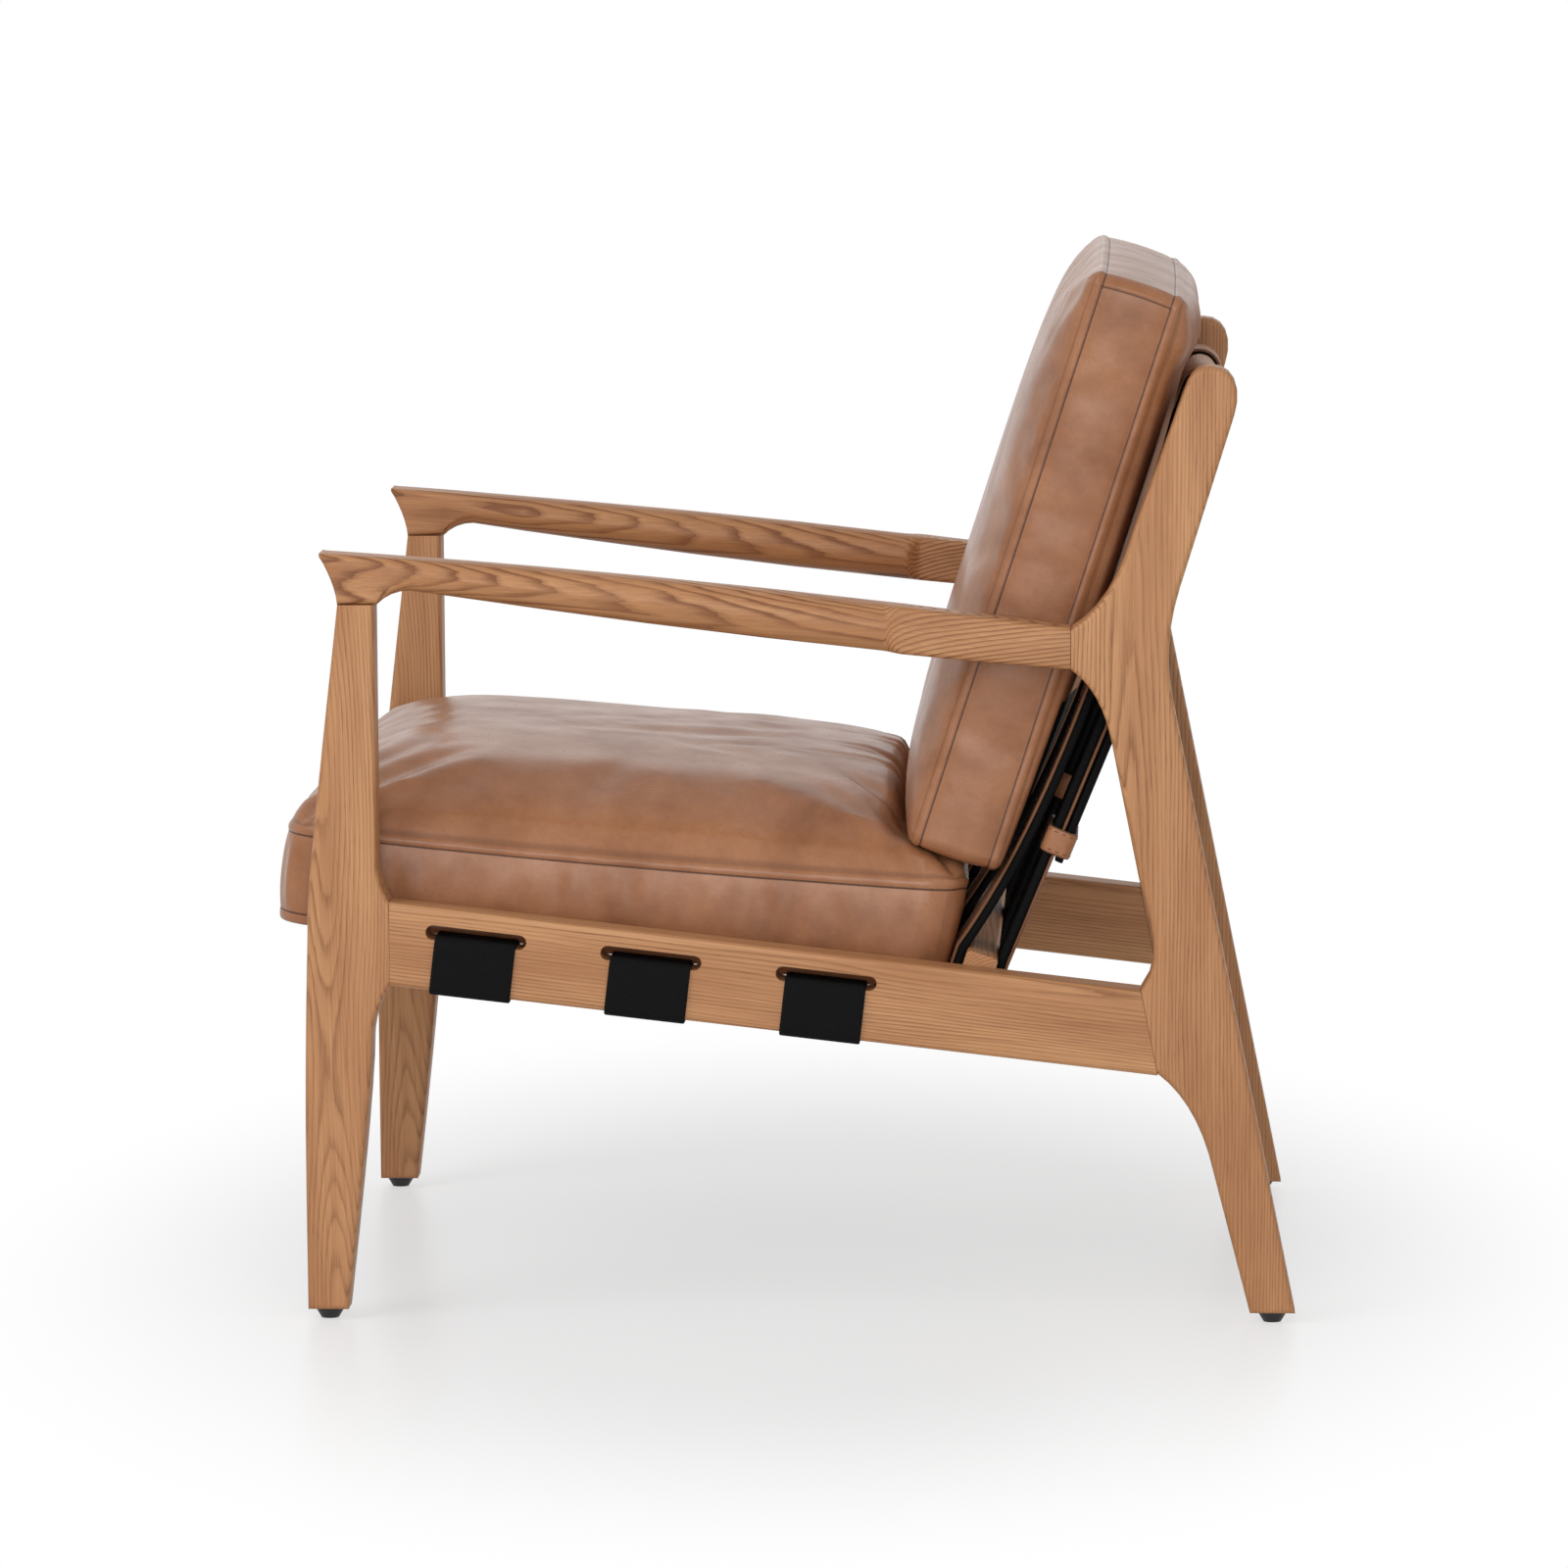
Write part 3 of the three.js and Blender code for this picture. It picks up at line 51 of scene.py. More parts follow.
CAMERA_YAW = math.radians(2.223)
CAMERA_PITCH = math.radians(6.088)
CAMERA_ROLL = math.radians(-0.104)
CAMERA_LENS = 207

# Frame sizes that the soft pieces follow
MEMBER = 0.036
EDGE = 0.004
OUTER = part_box("side_rail_left")[1].x
INNER = OUTER - MEMBER
RAIL_SLOPE = 0.115
SEAT_ANGLE = math.atan(RAIL_SLOPE)
SEAT_PLACE = Matrix.Translation((0, -0.097, 0.268805)) @ Matrix.Rotation(-SEAT_ANGLE, 4, "X")
BACK_LEAN = math.radians(18)
BACK_PLACE = Matrix.Rotation(math.pi / 2 - BACK_LEAN, 4, "X")

# Cushions
CELL = 0.0068
SIDE_PULL = 0.005
BAND_SWELL = 0.003
STRIP = 0.007  # width of a sewn seam strip
SEAM_ROWS = (0, 0.0015, 0.0055, STRIP, 0.0085)
SKIN = 0.0016
FOAM_INSET = 0.009
FOAM_CROWN = 0.8  # share of the cover's crown that the foam has
FILL_FRAMES = 20
STITCH = 0.0042
STITCH_GAP = 0.0018
THREAD = 0.00045

# Straps
WEB_WIDTH = 0.060
WEB_THICKNESS = 0.0026
WEB_GAP = 0.0004
WEB_SPACING = 0.130
WEB_PLACES = {"front": -WEB_SPACING, "middle": 0, "rear": WEB_SPACING}
WEB_SAG = 0.005  # how far a strap dips under the cushion, and over what length beside the rail
WEB_RAMP = 0.010
RAIL_DEPTH = 0.062
WEB_DROP = 0.021
BELT_WIDTH = 0.070
BELT_WEBBING = 0.006
BELT_LEATHER = 0.0024
LAYER_GAP = 0.0003
KEEPER_WALL = 0.003
KEEPER_HEIGHT = 0.020
SLIDE_ROD = 0.002
STRAP_STEP = 0.012  # longest step of a strap's mesh


def srgb(*screen):
    """A colour written as screen values from 0 to 255, as a linear RGBA."""
    def linear(share):
        return share / 12.92 if share <= 0.04045 else ((share + 0.055) / 1.055) ** 2.4
    return (*(linear(value / 255) for value in screen), 1)


# Materials


class Nodes:
    """Adds nodes to a tree. An input is a value or another node's socket."""

    def __init__(self, tree):
        self.tree = tree

    def add(self, kind, inputs, **settings):
        node = self.tree.nodes.new("ShaderNode" + kind)
        for key, value in settings.items():
            setattr(node, key, value)
        for key, value in inputs.items():
            self.put(node, key, value)
        return node

    def put(self, node, key, value):
        if isinstance(value, bpy.types.NodeSocket):
            self.tree.links.new(value, node.inputs[key])
        else:
            node.inputs[key].default_value = value

    def coordinates(self):
        return self.add("TexCoord", {}).outputs["Object"]

    def attribute(self, name):
        return self.add("Attribute", {}, attribute_name=name).outputs["Fac"]

    def vector(self, operation, first, second):
        return self.add("VectorMath", {0: first, 1: second}, operation=operation).outputs[0]

    def scaled(self, vector, scale):
        return self.vector("MULTIPLY", vector, scale)

    def noise(self, vector, scale, detail=3, roughness=0.5):
        inputs = {"Vector": vector, "Scale": scale, "Detail": detail, "Roughness": roughness}
        return self.add("TexNoise", inputs).outputs[0]

    def math(self, operation, first, second=0.0):
        return self.add("Math", {0: first, 1: second}, operation=operation).outputs[0]

    def spread(self, value, low, high, to_low=0.0, to_high=1.0, smooth=False):
        inputs = {"Value": value, "From Min": low, "From Max": high, "To Min": to_low, "To Max": to_high}
        kind = "SMOOTHSTEP" if smooth else "LINEAR"
        return self.add("MapRange", inputs, interpolation_type=kind).outputs[0]

    def ramp(self, value, *stops):
        node = self.add("ValToRGB", {"Fac": value})
        elements = node.color_ramp.elements
        while len(elements) < len(stops):
            elements.new(1)
        for element, (place, colour) in zip(elements, stops):
            element.position = place
            element.color = colour
        return node.outputs["Color"]

    def mix(self, share, first, second, blend="MIX"):
        node = self.add("Mix", {0: share, 6: first, 7: second}, data_type="RGBA", blend_type=blend)
        return node.outputs[2]

    def bump(self, height, strength, distance, **under):
        inputs = {"Height": height, "Strength": strength, "Distance": distance, **under}
        return self.add("Bump", inputs).outputs[0]


class Shader(Nodes):
    """A node material on one principled surface."""

    def __init__(self, name, **surface):
        self.material = bpy.data.materials.new(name)
        self.material.use_nodes = True
        super().__init__(self.material.node_tree)
        self.surface = self.tree.nodes["Principled BSDF"]
        self.finish(**surface)

    def finish(self, **inputs):
        for key, value in inputs.items():
            self.put(self.surface, key.replace("_", " "), value)
        return self.material


WOOD_LIGHT = srgb(203, 150, 103)
WOOD_MIDDLE = srgb(178, 123, 80)
WOOD_DARK = srgb(132, 83, 50)
WOOD_PORE = srgb(100, 62, 38)
RING = 0.0026  # mean width of a growth ring
FIGURE = 0.7  # how dark the early wood of a ring is
WAVE_UNIT = 2 * math.pi / 20  # a wave texture of scale 1 repeats after this length
BOW_LENGTH = 0.42  # length of a wave in the pith


def ash(name, along, pith, seed, bow=(0, 0), sweep=(0, 0), ring=RING, figure=FIGURE, shade=0.0):
    """Ash whose grain runs along a direction, with its growth rings centred on a point of the pith. A bow is
    the place and depth of a wave in the pith, and a sweep is where the grain turns aside and how fast. The
    figure is how dark the rings are, and the shade darkens the whole piece."""
    shader = Shader(name, Specular_IOR_Level=0.35)
    turn = Vector(along).normalized().rotation_difference(Vector((0, 0, 1))).to_matrix()
    shift = -(turn @ Vector(pith))
    inputs = {"Vector": shader.coordinates(), "Rotation": turn.to_euler(), "Location": shift}
    placed = shader.add("Mapping", inputs).outputs[0]
    height = shader.add("SeparateXYZ", {0: placed}).outputs[2]
    wave = shader.math("MULTIPLY", shader.math("SUBTRACT", height, bow[0]), 2 * math.pi / BOW_LENGTH)
    bend = shader.spread(shader.math("COSINE", wave), 1, -1, 0, bow[1])
    past = shader.math("MAXIMUM", shader.math("SUBTRACT", height, sweep[0]), 0.0)
    aside = shader.math("MULTIPLY", shader.math("POWER", past, 0.5), sweep[1])
    drift = shader.add("CombineXYZ", {0: bend, 1: aside}).outputs[0]
    drifted = shader.vector("ADD", placed, drift)
    wander = shader.add("TexNoise", {
        "Vector": shader.scaled(placed, (1, 1, 0.16)), "W": seed, "Scale": 26.0, "Detail": 2.0,
    }, noise_dimensions="4D").outputs["Color"]
    centred = shader.vector("SUBTRACT", wander, (0.5, 0.5, 0.5))
    warped = shader.vector("ADD", shader.scaled(centred, (0.011, 0.011, 0)), drifted)
    rings = shader.add("TexWave", {
        "Vector": shader.scaled(warped, (1, 1, 0.05)), "Scale": WAVE_UNIT / ring, "Distortion": 2.6,
        "Detail": 3.0, "Detail Scale": 1.1, "Detail Roughness": 0.6, "Phase Offset": seed * 1.7,
    }, wave_type="RINGS", rings_direction="Z", wave_profile="SAW").outputs["Fac"]
    early = shader.ramp(
        rings, (0, (1, 1, 1, 1)), (0.16, (0.7, 0.7, 0.7, 1)), (0.36, (0.2, 0.2, 0.2, 1)),
        (0.84, (0, 0, 0, 1)), (1, (0.5, 0.5, 0.5, 1)),
    )
    years = shader.noise(shader.scaled(drifted, (60, 60, 5)), 1.0, 2, 0.5)
    early = shader.math("MULTIPLY", early, shader.spread(years, 0.34, 0.62, 0.45, 1))
    pores = shader.noise(shader.scaled(placed, (1500, 1500, 42)), 1.0, 2, 0.6)
    fleck = shader.math("MULTIPLY", shader.spread(pores, 0.52, 0.66), early)
    fibres = shader.noise(shader.scaled(placed, (760, 760, 9)), 1.0, 3, 0.6)
    patches = shader.noise(shader.scaled(drifted, (34, 34, 4)), 1.0, 3, 0.5)
    tone = shader.ramp(patches, (0.3, WOOD_MIDDLE), (0.66, WOOD_LIGHT))
    tone = shader.mix(shader.spread(fibres, 0.35, 0.75, shade, shade + 0.42), tone, WOOD_DARK)
    tone = shader.mix(shader.math("MULTIPLY", early, figure), tone, WOOD_DARK)
    tone = shader.mix(shader.math("MULTIPLY", fleck, 0.7), tone, WOOD_PORE)
    relief = shader.math("ADD", shader.math("MULTIPLY", fleck, -1.0), shader.math("MULTIPLY", early, -0.35))
    normal = shader.bump(relief, 0.22, 0.0003)
    return shader.finish(
        Base_Color=tone, Roughness=shader.spread(early, 0, 1, 0.46, 0.62), Normal=normal,
    )


LEATHER = srgb(159, 107, 73)
LEATHER_LIGHT = srgb(174, 121, 86)
LEATHER_DARK = srgb(137, 89, 59)
# Painted shade for the seam grooves and stitched lines of the cushions, and the colour of the burnished cut
# edges of the belts
LEATHER_SEAM_SHADE_AND_BURNISH = srgb(70, 44, 31)
MATT = 0.5  # roughness that a matt place of a cover has more


def leather(name, roughness, sewn):
    """Waxed leather: mottled, with a fine pebble and soft crinkles. A sewn one has painted shade in its seam
    grooves and along its stitched lines and can be matt in places, and a cut one has burnished edges."""
    shader = Shader(name, Specular_IOR_Level=0.32)
    place = shader.coordinates()
    mottle = shader.noise(place, 17, 5, 0.6)
    speckle = shader.noise(place, 210, 3, 0.6)
    tone = shader.ramp(mottle, (0.3, LEATHER_DARK), (0.5, LEATHER), (0.72, LEATHER_LIGHT))
    tone = shader.mix(shader.spread(speckle, 0.35, 0.8, 0, 0.3), tone, LEATHER_DARK)
    gloss = shader.spread(mottle, 0.3, 0.7, roughness + 0.07, roughness - 0.05)
    if sewn:
        gloss = shader.math("ADD", gloss, shader.math("MULTIPLY", shader.attribute("matt"), MATT))
        # Painted shade: darker in the seam grooves and along the stitched lines, where the threads sink in
        seam = shader.spread(shader.attribute("seam"), 0.0002, 0.0010, 0.3, 0, smooth=True)
        stitch = shader.spread(shader.attribute("stitch"), 0.0003, 0.0008, 0.9, 0, smooth=True)
        tone = shader.mix(shader.math("MAXIMUM", seam, stitch), tone, LEATHER_SEAM_SHADE_AND_BURNISH)
    else:
        edge = shader.spread(shader.attribute("edge"), 0.0007, 0.0018, 0.6, 0, smooth=True)
        tone = shader.mix(edge, tone, LEATHER_SEAM_SHADE_AND_BURNISH)
    crinkle = shader.noise(place, 62, 5, 0.62)
    pebble = shader.add("TexVoronoi", {"Vector": place, "Scale": 720.0}, feature="SMOOTH_F1").outputs[0]
    normal = shader.bump(crinkle, 0.12, 0.0022)
    normal = shader.bump(pebble, 0.16, 0.0003, Normal=normal)
    return shader.finish(Base_Color=tone, Roughness=gloss, Normal=normal)


CLOTH_BLACK = srgb(9, 9, 10)
CLOTH_GREY = srgb(21, 21, 22)


def black_weave(name, pitch, strap):
    """Black woven cloth. Its threads run along and across a strap, and along X and Y in a panel."""
    shader = Shader(name, Specular_IOR_Level=0.12)
    if strap:
        threads = [shader.attribute("along"), shader.attribute("across")]
    else:
        threads = shader.add("SeparateXYZ", {0: shader.coordinates()}).outputs[:2]
    turn = 2 * math.pi / pitch
    weave = shader.math("MULTIPLY", *(
        shader.math("SINE", shader.math("MULTIPLY", thread, turn)) for thread in threads
    ))
    fuzz = shader.noise(shader.coordinates(), 900, 2, 0.6)
    tone = shader.mix(shader.spread(weave, -1, 1), CLOTH_BLACK, CLOTH_GREY)
    tone = shader.mix(shader.spread(fuzz, 0.5, 0.8, 0, 0.5), tone, CLOTH_GREY)
    gloss = shader.spread(fuzz, 0.3, 0.7, 0.78, 0.95)
    return shader.finish(Base_Color=tone, Normal=shader.bump(weave, 0.5, pitch / 4), Roughness=gloss)


def plain(name, colour, worn, roughness, scale, metallic=0.0):
    """A moulded or metal surface with slight wear."""
    shader = Shader(name, Metallic=metallic)
    wear = shader.noise(shader.coordinates(), scale, 5, 0.65)
    tone = shader.mix(shader.spread(wear, 0.45, 0.75), colour, worn)
    gloss = shader.spread(wear, 0.3, 0.7, roughness - 0.08, roughness + 0.1)
    normal = shader.bump(wear, 0.1, 0.0002)
    return shader.finish(Base_Color=tone, Roughness=gloss, Normal=normal)


CUSHION_LEATHER = leather("cushion_leather", 0.30, True)
STRAP_LEATHER = leather("belt_leather", 0.5, False)
WEBBING = black_weave("webbing", 0.0022, True)
LINING = black_weave("lining_fabric", 0.0011, False)
FOAM = plain("foam", srgb(222, 214, 190), srgb(205, 194, 165), 0.9, 400)
PLASTIC = plain("glide", srgb(20, 20, 20), srgb(38, 38, 38), 0.45, 300)
METAL = plain("slide_metal", srgb(92, 80, 66), srgb(64, 54, 44), 0.38, 500, 1.0)
SEAM_THREAD = plain("seam_thread", srgb(104, 66, 46), srgb(84, 52, 36), 0.7, 900)
BELT_THREAD = plain("belt_thread", srgb(120, 78, 52), srgb(90, 58, 40), 0.7, 900)


# Pieces


def new_object(name, data):
    piece = bpy.data.objects.new(name, data)
    bpy.context.scene.collection.objects.link(piece)
    return piece


def add_object(name, mesh, material, body, replaces=(), place=Matrix.Identity(4)):
    piece = new_object(name, mesh)
    mesh.materials.append(material)
    piece.matrix_world = place
    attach(piece, body)
    if replaces:
        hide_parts(*replaces)
    return piece


def mesh_of(name, points, faces, attributes=None):
    mesh = bpy.data.meshes.new(name)
    mesh.from_pydata([tuple(point) for point in points], [], [list(face) for face in faces])
    for key, values in (attributes or {}).items():
        layer = mesh.attributes.new(key, "FLOAT", "POINT")
        layer.data.foreach_set("value", np.asarray(values, np.float32))
    mesh.shade_smooth()
    mesh.update()
    return mesh


def tube_faces(rings):
    """Quads between neighbouring rings of points."""
    upper, lower = np.array(rings[:-1]), np.array(rings[1:])
    return np.stack([upper, lower, np.roll(lower, -1, 1), np.roll(upper, -1, 1)], -1).reshape(-1, 4)


# Wood and glides: the solids of the frame with smooth, weighted normals

SHARP = math.radians(40)


def smooth_copy(node, material):
    form = bmesh.new()
    form.from_mesh(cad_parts[node].data)
    bmesh.ops.remove_doubles(form, verts=form.verts, dist=1e-6)
    bmesh.ops.dissolve_limit(form, angle_limit=1e-4, verts=form.verts, edges=form.edges)
    for face in form.faces:
        face.smooth = True
    for edge in form.edges:
        edge.smooth = edge.calc_face_angle(0) < SHARP
    mesh = bpy.data.meshes.new(node + "_surface")
    form.to_mesh(mesh)
    form.free()
    piece = add_object(node + "_surface", mesh, material, "frame", (node,))
    piece.modifiers.new("normals", "WEIGHTED_NORMAL").keep_sharp = True


def middle_of(node):
    low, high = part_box(node)
    return (low + high) / 2


ARM_BLOCK_START = 0.080  # where the thick rear end of an armrest begins
ARM_GRAIN = dict(ring=0.0034, figure=1.3, shade=0.06)
SIDE_SEED = 0.37
BAR_SEED = 9.3
DOWEL_SEED = 4.1


def dress_wood():
    """Each wooden piece has its own cut of timber: a grain direction, a place of the pith and its curve."""
    arm_block = ARM_BLOCK_START - middle_of("armrest_left").y
    cuts = {
        "front_leg": ((0, -0.028, 1), (0.006, -0.014, 0), dict(bow=(0.13, 0.012), figure=0.62)),
        "rear_leg": ((-0.02, 0.004, 1), (-0.002, -0.040, 0), {}),
        "armrest": ((0.075, 1, -0.055), (-0.010, 0, 0.008), dict(sweep=(arm_block, 0.11), **ARM_GRAIN)),
        "side_rail": ((0.008, 1, -0.128), (0.03, 0, 0.03), {}),
    }
    for seed, (stem, (along, offset, curve)) in enumerate(cuts.items()):
        for shift, side in ((SIDE_SEED, "left"), (-SIDE_SEED, "right")):
            node = f"{stem}_{side}"
            pith = middle_of(node) + Vector(offset)
            smooth_copy(node, ash(node, along, pith, seed + shift, **curve))
    bars = {
        "front_rail": ((1, 0.012, 0.02), (0, 0.03, 0.02)),
        "lower_back_rail": ((1, 0.02, -0.015), (0, 0.02, -0.03)),
        "crest_dowel": ((1, 0.01, 0.012), (0, 0.012, 0.02)),
    }
    for seed, (node, (along, offset)) in enumerate(bars.items()):
        smooth_copy(node, ash(node, along, middle_of(node) + Vector(offset), seed + BAR_SEED))
    for node, cad_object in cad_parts.items():
        if "dowel_" in node:
            cad_object.material_slots[0].material = ash(node, (0, 0, 1), middle_of(node), DOWEL_SEED)
        if node.startswith("glide_"):
            smooth_copy(node, PLASTIC)


dress_wood()


# Cushions


def stations(half, corner):
    """Grid lines from -half to half, close together at the seams and at the ends of the round corners."""
    seam = SEAM_ROWS[-1]
    bend = corner - SEAM_ROWS[1]
    curve = np.linspace(seam, bend, round((bend - seam) / CELL) + 1)
    near = np.array([*SEAM_ROWS[:-1], *curve, corner, corner + SEAM_ROWS[1]])
    count = round(2 * (half - near[-1]) / CELL)
    inner = np.linspace(near[-1] - half, half - near[-1], count + 1)
    low = near[:-1] - half
    return np.concatenate([low, inner, -low[::-1]])


def rounded(u, v, half_u, half_v, corner):
    """Moves grid points of a rectangle so that its corners become quarter circles."""
    p = (np.abs(u) - (half_u - corner)) / corner
    q = (np.abs(v) - (half_v - corner)) / corner
    inside = (p > 0) & (q > 0)
    p = np.where(inside, p, 1)
    q = np.where(inside, q, 1)
    reach = np.maximum(p, q)
    angle = np.where(p >= q, math.pi / 4 * q / p, math.pi / 2 - math.pi / 4 * p / q)
    new_u = np.sign(u) * (half_u - corner + corner * reach * np.cos(angle))
    new_v = np.sign(v) * (half_v - corner + corner * reach * np.sin(angle))
    return np.where(inside, new_u, u), np.where(inside, new_v, v)


class BoxCushion:
    """Quads of a box cushion: a top panel, a band and a bottom panel. Its thickness runs along w."""

    def __init__(self, half_u, low, high, corner, band_low, band_high, crown_low, crown_high, fill_low=0.45):
        half_v = (high - low) / 2
        self.half_u = half_u
        self.half_v = half_v
        self.corner = corner
        grid_u, grid_v = np.meshgrid(stations(half_u, corner), stations(half_v, corner), indexing="ij")
        count = grid_u.size
        plan_u, plan_v = rounded(grid_u, grid_v, half_u, half_v, corner)
        plan_u = plan_u - SIDE_PULL * (plan_u / half_u) ** 3 * (1 - (grid_v / half_v) ** 2)
        plan_v = plan_v - SIDE_PULL * (plan_v / half_v) ** 3 * (1 - (grid_u / half_u) ** 2)
        dome = ((1 - (grid_u / half_u) ** 4) * (1 - (grid_v / half_v) ** 4)).ravel()
        plan = np.stack([plan_u.ravel(), plan_v.ravel()], 1)
        edge = np.minimum(half_u - np.abs(grid_u), half_v - np.abs(grid_v)).ravel()
        index = np.arange(count).reshape(grid_u.shape)
        ring = np.concatenate([index[:-1, 0], index[-1, :-1], index[:0:-1, -1], index[0, :0:-1]])
        height = band_high - band_low
        ends = SEAM_ROWS[1:]
        between = np.linspace(ends[-1], height - ends[-1], round((height - 2 * ends[-1]) / CELL) + 1)
        drops = np.concatenate([ends[:-1], between, height - np.array(ends[:-1])[::-1]])
        top = np.column_stack([plan, band_high + crown_high * dome ** 0.45])
        bottom = np.column_stack([plan, band_low - crown_low * dome ** fill_low])
        rows = []
        for drop in drops:
            swell = BAND_SWELL * math.sin(math.pi * drop / height)
            reach = np.linalg.norm(plan[ring], axis=1)
            grown = plan[ring] * (1 + swell / reach)[:, None]
            rows.append(np.column_stack([grown, np.full(len(ring), band_high - drop)]))
        self.points = np.concatenate([top, bottom, *rows])
        self.points[:, 1] += (low + high) / 2
        self.count = count
        # Distance from the upper seam and from the lower seam, positive on the seam's own panel
        down = np.repeat(drops, len(ring))
        self.from_high = np.concatenate([edge, -height - edge, -down])
        self.from_low = np.concatenate([-height - edge, edge, down - height])
        source = np.concatenate([np.arange(count)] * 2 + [ring] * len(drops))
        self.grid_u = grid_u.ravel()[source]
        self.grid_v = grid_v.ravel()[source]
        quads = [index[:-1, :-1], index[1:, :-1], index[1:, 1:], index[:-1, 1:]]
        panel = np.stack(quads, -1).reshape(-1, 4)
        rows = 2 * count + np.arange(len(drops) * len(ring)).reshape(len(drops), -1)
        self.levels = [ring, *rows, ring + count]
        band = tube_faces(self.levels)
        self.faces = np.concatenate([panel, panel[:, ::-1] + count, band])
        self.panel = np.repeat([0, 1, 2], [len(panel), len(panel), len(band)])

    def normals(self):
        corners = self.points[self.faces]
        across = np.cross(corners[:, 2] - corners[:, 0], corners[:, 3] - corners[:, 1])
        total = np.zeros_like(self.points)
        for corner in range(4):
            np.add.at(total, self.faces[:, corner], across)
        return total / np.maximum(np.linalg.norm(total, axis=1), 1e-12)[:, None]

    def marks(self):
        """Each point's distance from the nearest seam and from the nearest stitched line."""
        high, low = self.from_high, self.from_low
        return {
            "seam": np.minimum(np.abs(high), np.abs(low)),
            "stitch": np.minimum(np.abs(high + STRIP), np.abs(low + STRIP)),
        }


SEAM_PIN = 0.9
FILLING = dict(
    quality=5, mass=0.35, tension_stiffness=30, compression_stiffness=30, shear_stiffness=12,
    bending_stiffness=3, use_pressure=True, uniform_pressure_force=4.0, vertex_group_mass="pins",
)


def inflate(form, band_give, slack, cap):
    """Fills the cover like a cushion. The bottom stays, the upper seam nearly so. Each point's movement nears
    the cap softly, and a point of the band keeps the share of it that the band gives."""
    on_seam = np.abs(form.from_high) < 1e-6
    pins = np.where(form.from_low >= 0, 1.0, np.where(on_seam, SEAM_PIN, 0.0))
    give = np.where((form.from_high < 0) & (form.from_low < 0), band_give, 1)
    mesh = mesh_of("filling", form.points, form.faces)
    piece = new_object("filling", mesh)
    group = piece.vertex_groups.new(name="pins")
    for weight in np.unique(pins):
        if weight > 0:
            group.add(np.flatnonzero(pins == weight).tolist(), float(weight), "REPLACE")
    cloth = piece.modifiers.new("cloth", "CLOTH")
    settings = cloth.settings
    for key, value in FILLING.items():
        setattr(settings, key, value)
    settings.shrink_min = -slack
    settings.effector_weights.gravity = 0
    cloth.collision_settings.use_collision = False
    cloth.point_cache.frame_start = 1
    cloth.point_cache.frame_end = FILL_FRAMES
    scene = bpy.context.scene
    for step in range(1, FILL_FRAMES + 1):
        scene.frame_set(step)
    filled = piece.evaluated_get(bpy.context.evaluated_depsgraph_get()).to_mesh()
    found = np.zeros(len(form.points) * 3)
    filled.vertices.foreach_get("co", found)
    moved = found.reshape(-1, 3) - form.points
    scene.frame_set(1)
    bpy.data.objects.remove(piece)
    bpy.data.meshes.remove(mesh)
    length = np.linalg.norm(moved, axis=1)
    share = give * cap * np.tanh(length / cap) / np.maximum(length, 1e-9)
    form.points = form.points + moved * share[:, None]


def bell(value, width):
    return np.exp(-(value / width) ** 2)


def seam_relief(distance):
    """Height of a sewn strip: a groove at the seam, a raised strip beside it and a stitched line."""
    beside = -distance
    groove = -0.0010 * bell(distance, 0.0012)
    strip = 0.0010 * np.clip((beside - 0.0006) / 0.001, 0, 1) * np.clip((STRIP - beside) / 0.001, 0, 1)
    line = -0.0008 * bell(beside - STRIP, 0.0011)
    return groove + strip + line


def smooth_step(value, low, high):
    share = np.clip((value - low) / (high - low), 0, 1)
    return share * share * (3 - 2 * share)


def crease(form, start, end, depth, width):
    """Presses a soft fold with raised lips into the upper panel, along a line in u and v."""
    start = np.array(start)
    along = np.array(end) - start
    length = np.linalg.norm(along)
    along = along / length
    offset = form.points[:, :2] - start
    t = (offset @ along) / length
    side = (offset @ np.array([-along[1], along[0]])) / width
    taper = np.clip(t * 4, 0, 1) * np.clip((1 - t) * 2.2, 0, 1)
    taper = taper * taper * (3 - 2 * taper) * ((t > 0) & (t < 1))
    fold = -depth * taper * (1 - side ** 2) * np.exp(-side ** 2 / 2)
    return np.where(np.arange(len(fold)) < form.count, fold, 0)


def wrinkle(form, draw, start, lengths, angles, depths, widths, way=(1, 1)):
    """A crease from a point, drawn at random within the ranges. It runs the way of the two signs."""
    length = draw.uniform(*lengths)
    angle = draw.uniform(*angles)
    end = (start[0] + way[0] * length * math.sin(angle), start[1] + way[1] * length * math.cos(angle))
    return crease(form, start, end, draw.uniform(*depths), draw.uniform(*widths))


def cushion_piece(name, form, keep, material, marks, place, body, replaces):
    """One sewn piece of a cushion, made of the chosen faces, with the thickness of its cover.
    The marks give each point's distance from the nearest seam and stitched line, and how matt it is."""
    faces = form.faces[keep]
    used = np.unique(faces)
    renumber = np.zeros(len(form.points), int)
    renumber[used] = np.arange(len(used))
    attributes = {key: values[used] for key, values in marks.items()}
    mesh = mesh_of(name, form.points[used], renumber[faces], attributes)
    piece = add_object(name, mesh, material, body, replaces, place)
    smooth = piece.modifiers.new("smooth", "SUBSURF")
    smooth.levels = smooth.render_levels = 1
    skin = piece.modifiers.new("skin", "SOLIDIFY")
    skin.thickness = SKIN
    skin.offset = -1
    return piece


def foam_piece(name, sizes, reshape, place, body, replaces):
    low, high = sizes["low"], sizes["high"]
    smaller = dict(sizes, half_u=sizes["half_u"] - FOAM_INSET, low=low + FOAM_INSET, high=high - FOAM_INSET)
    smaller["band_low"] += FOAM_INSET
    smaller["band_high"] -= FOAM_INSET
    smaller["crown_low"] *= FOAM_CROWN
    smaller["crown_high"] *= FOAM_CROWN
    form = BoxCushion(**smaller)
    form.points = reshape(form.points)
    mesh = mesh_of(name, form.points, form.faces)
    return add_object(name, mesh, FOAM, body, replaces, place)


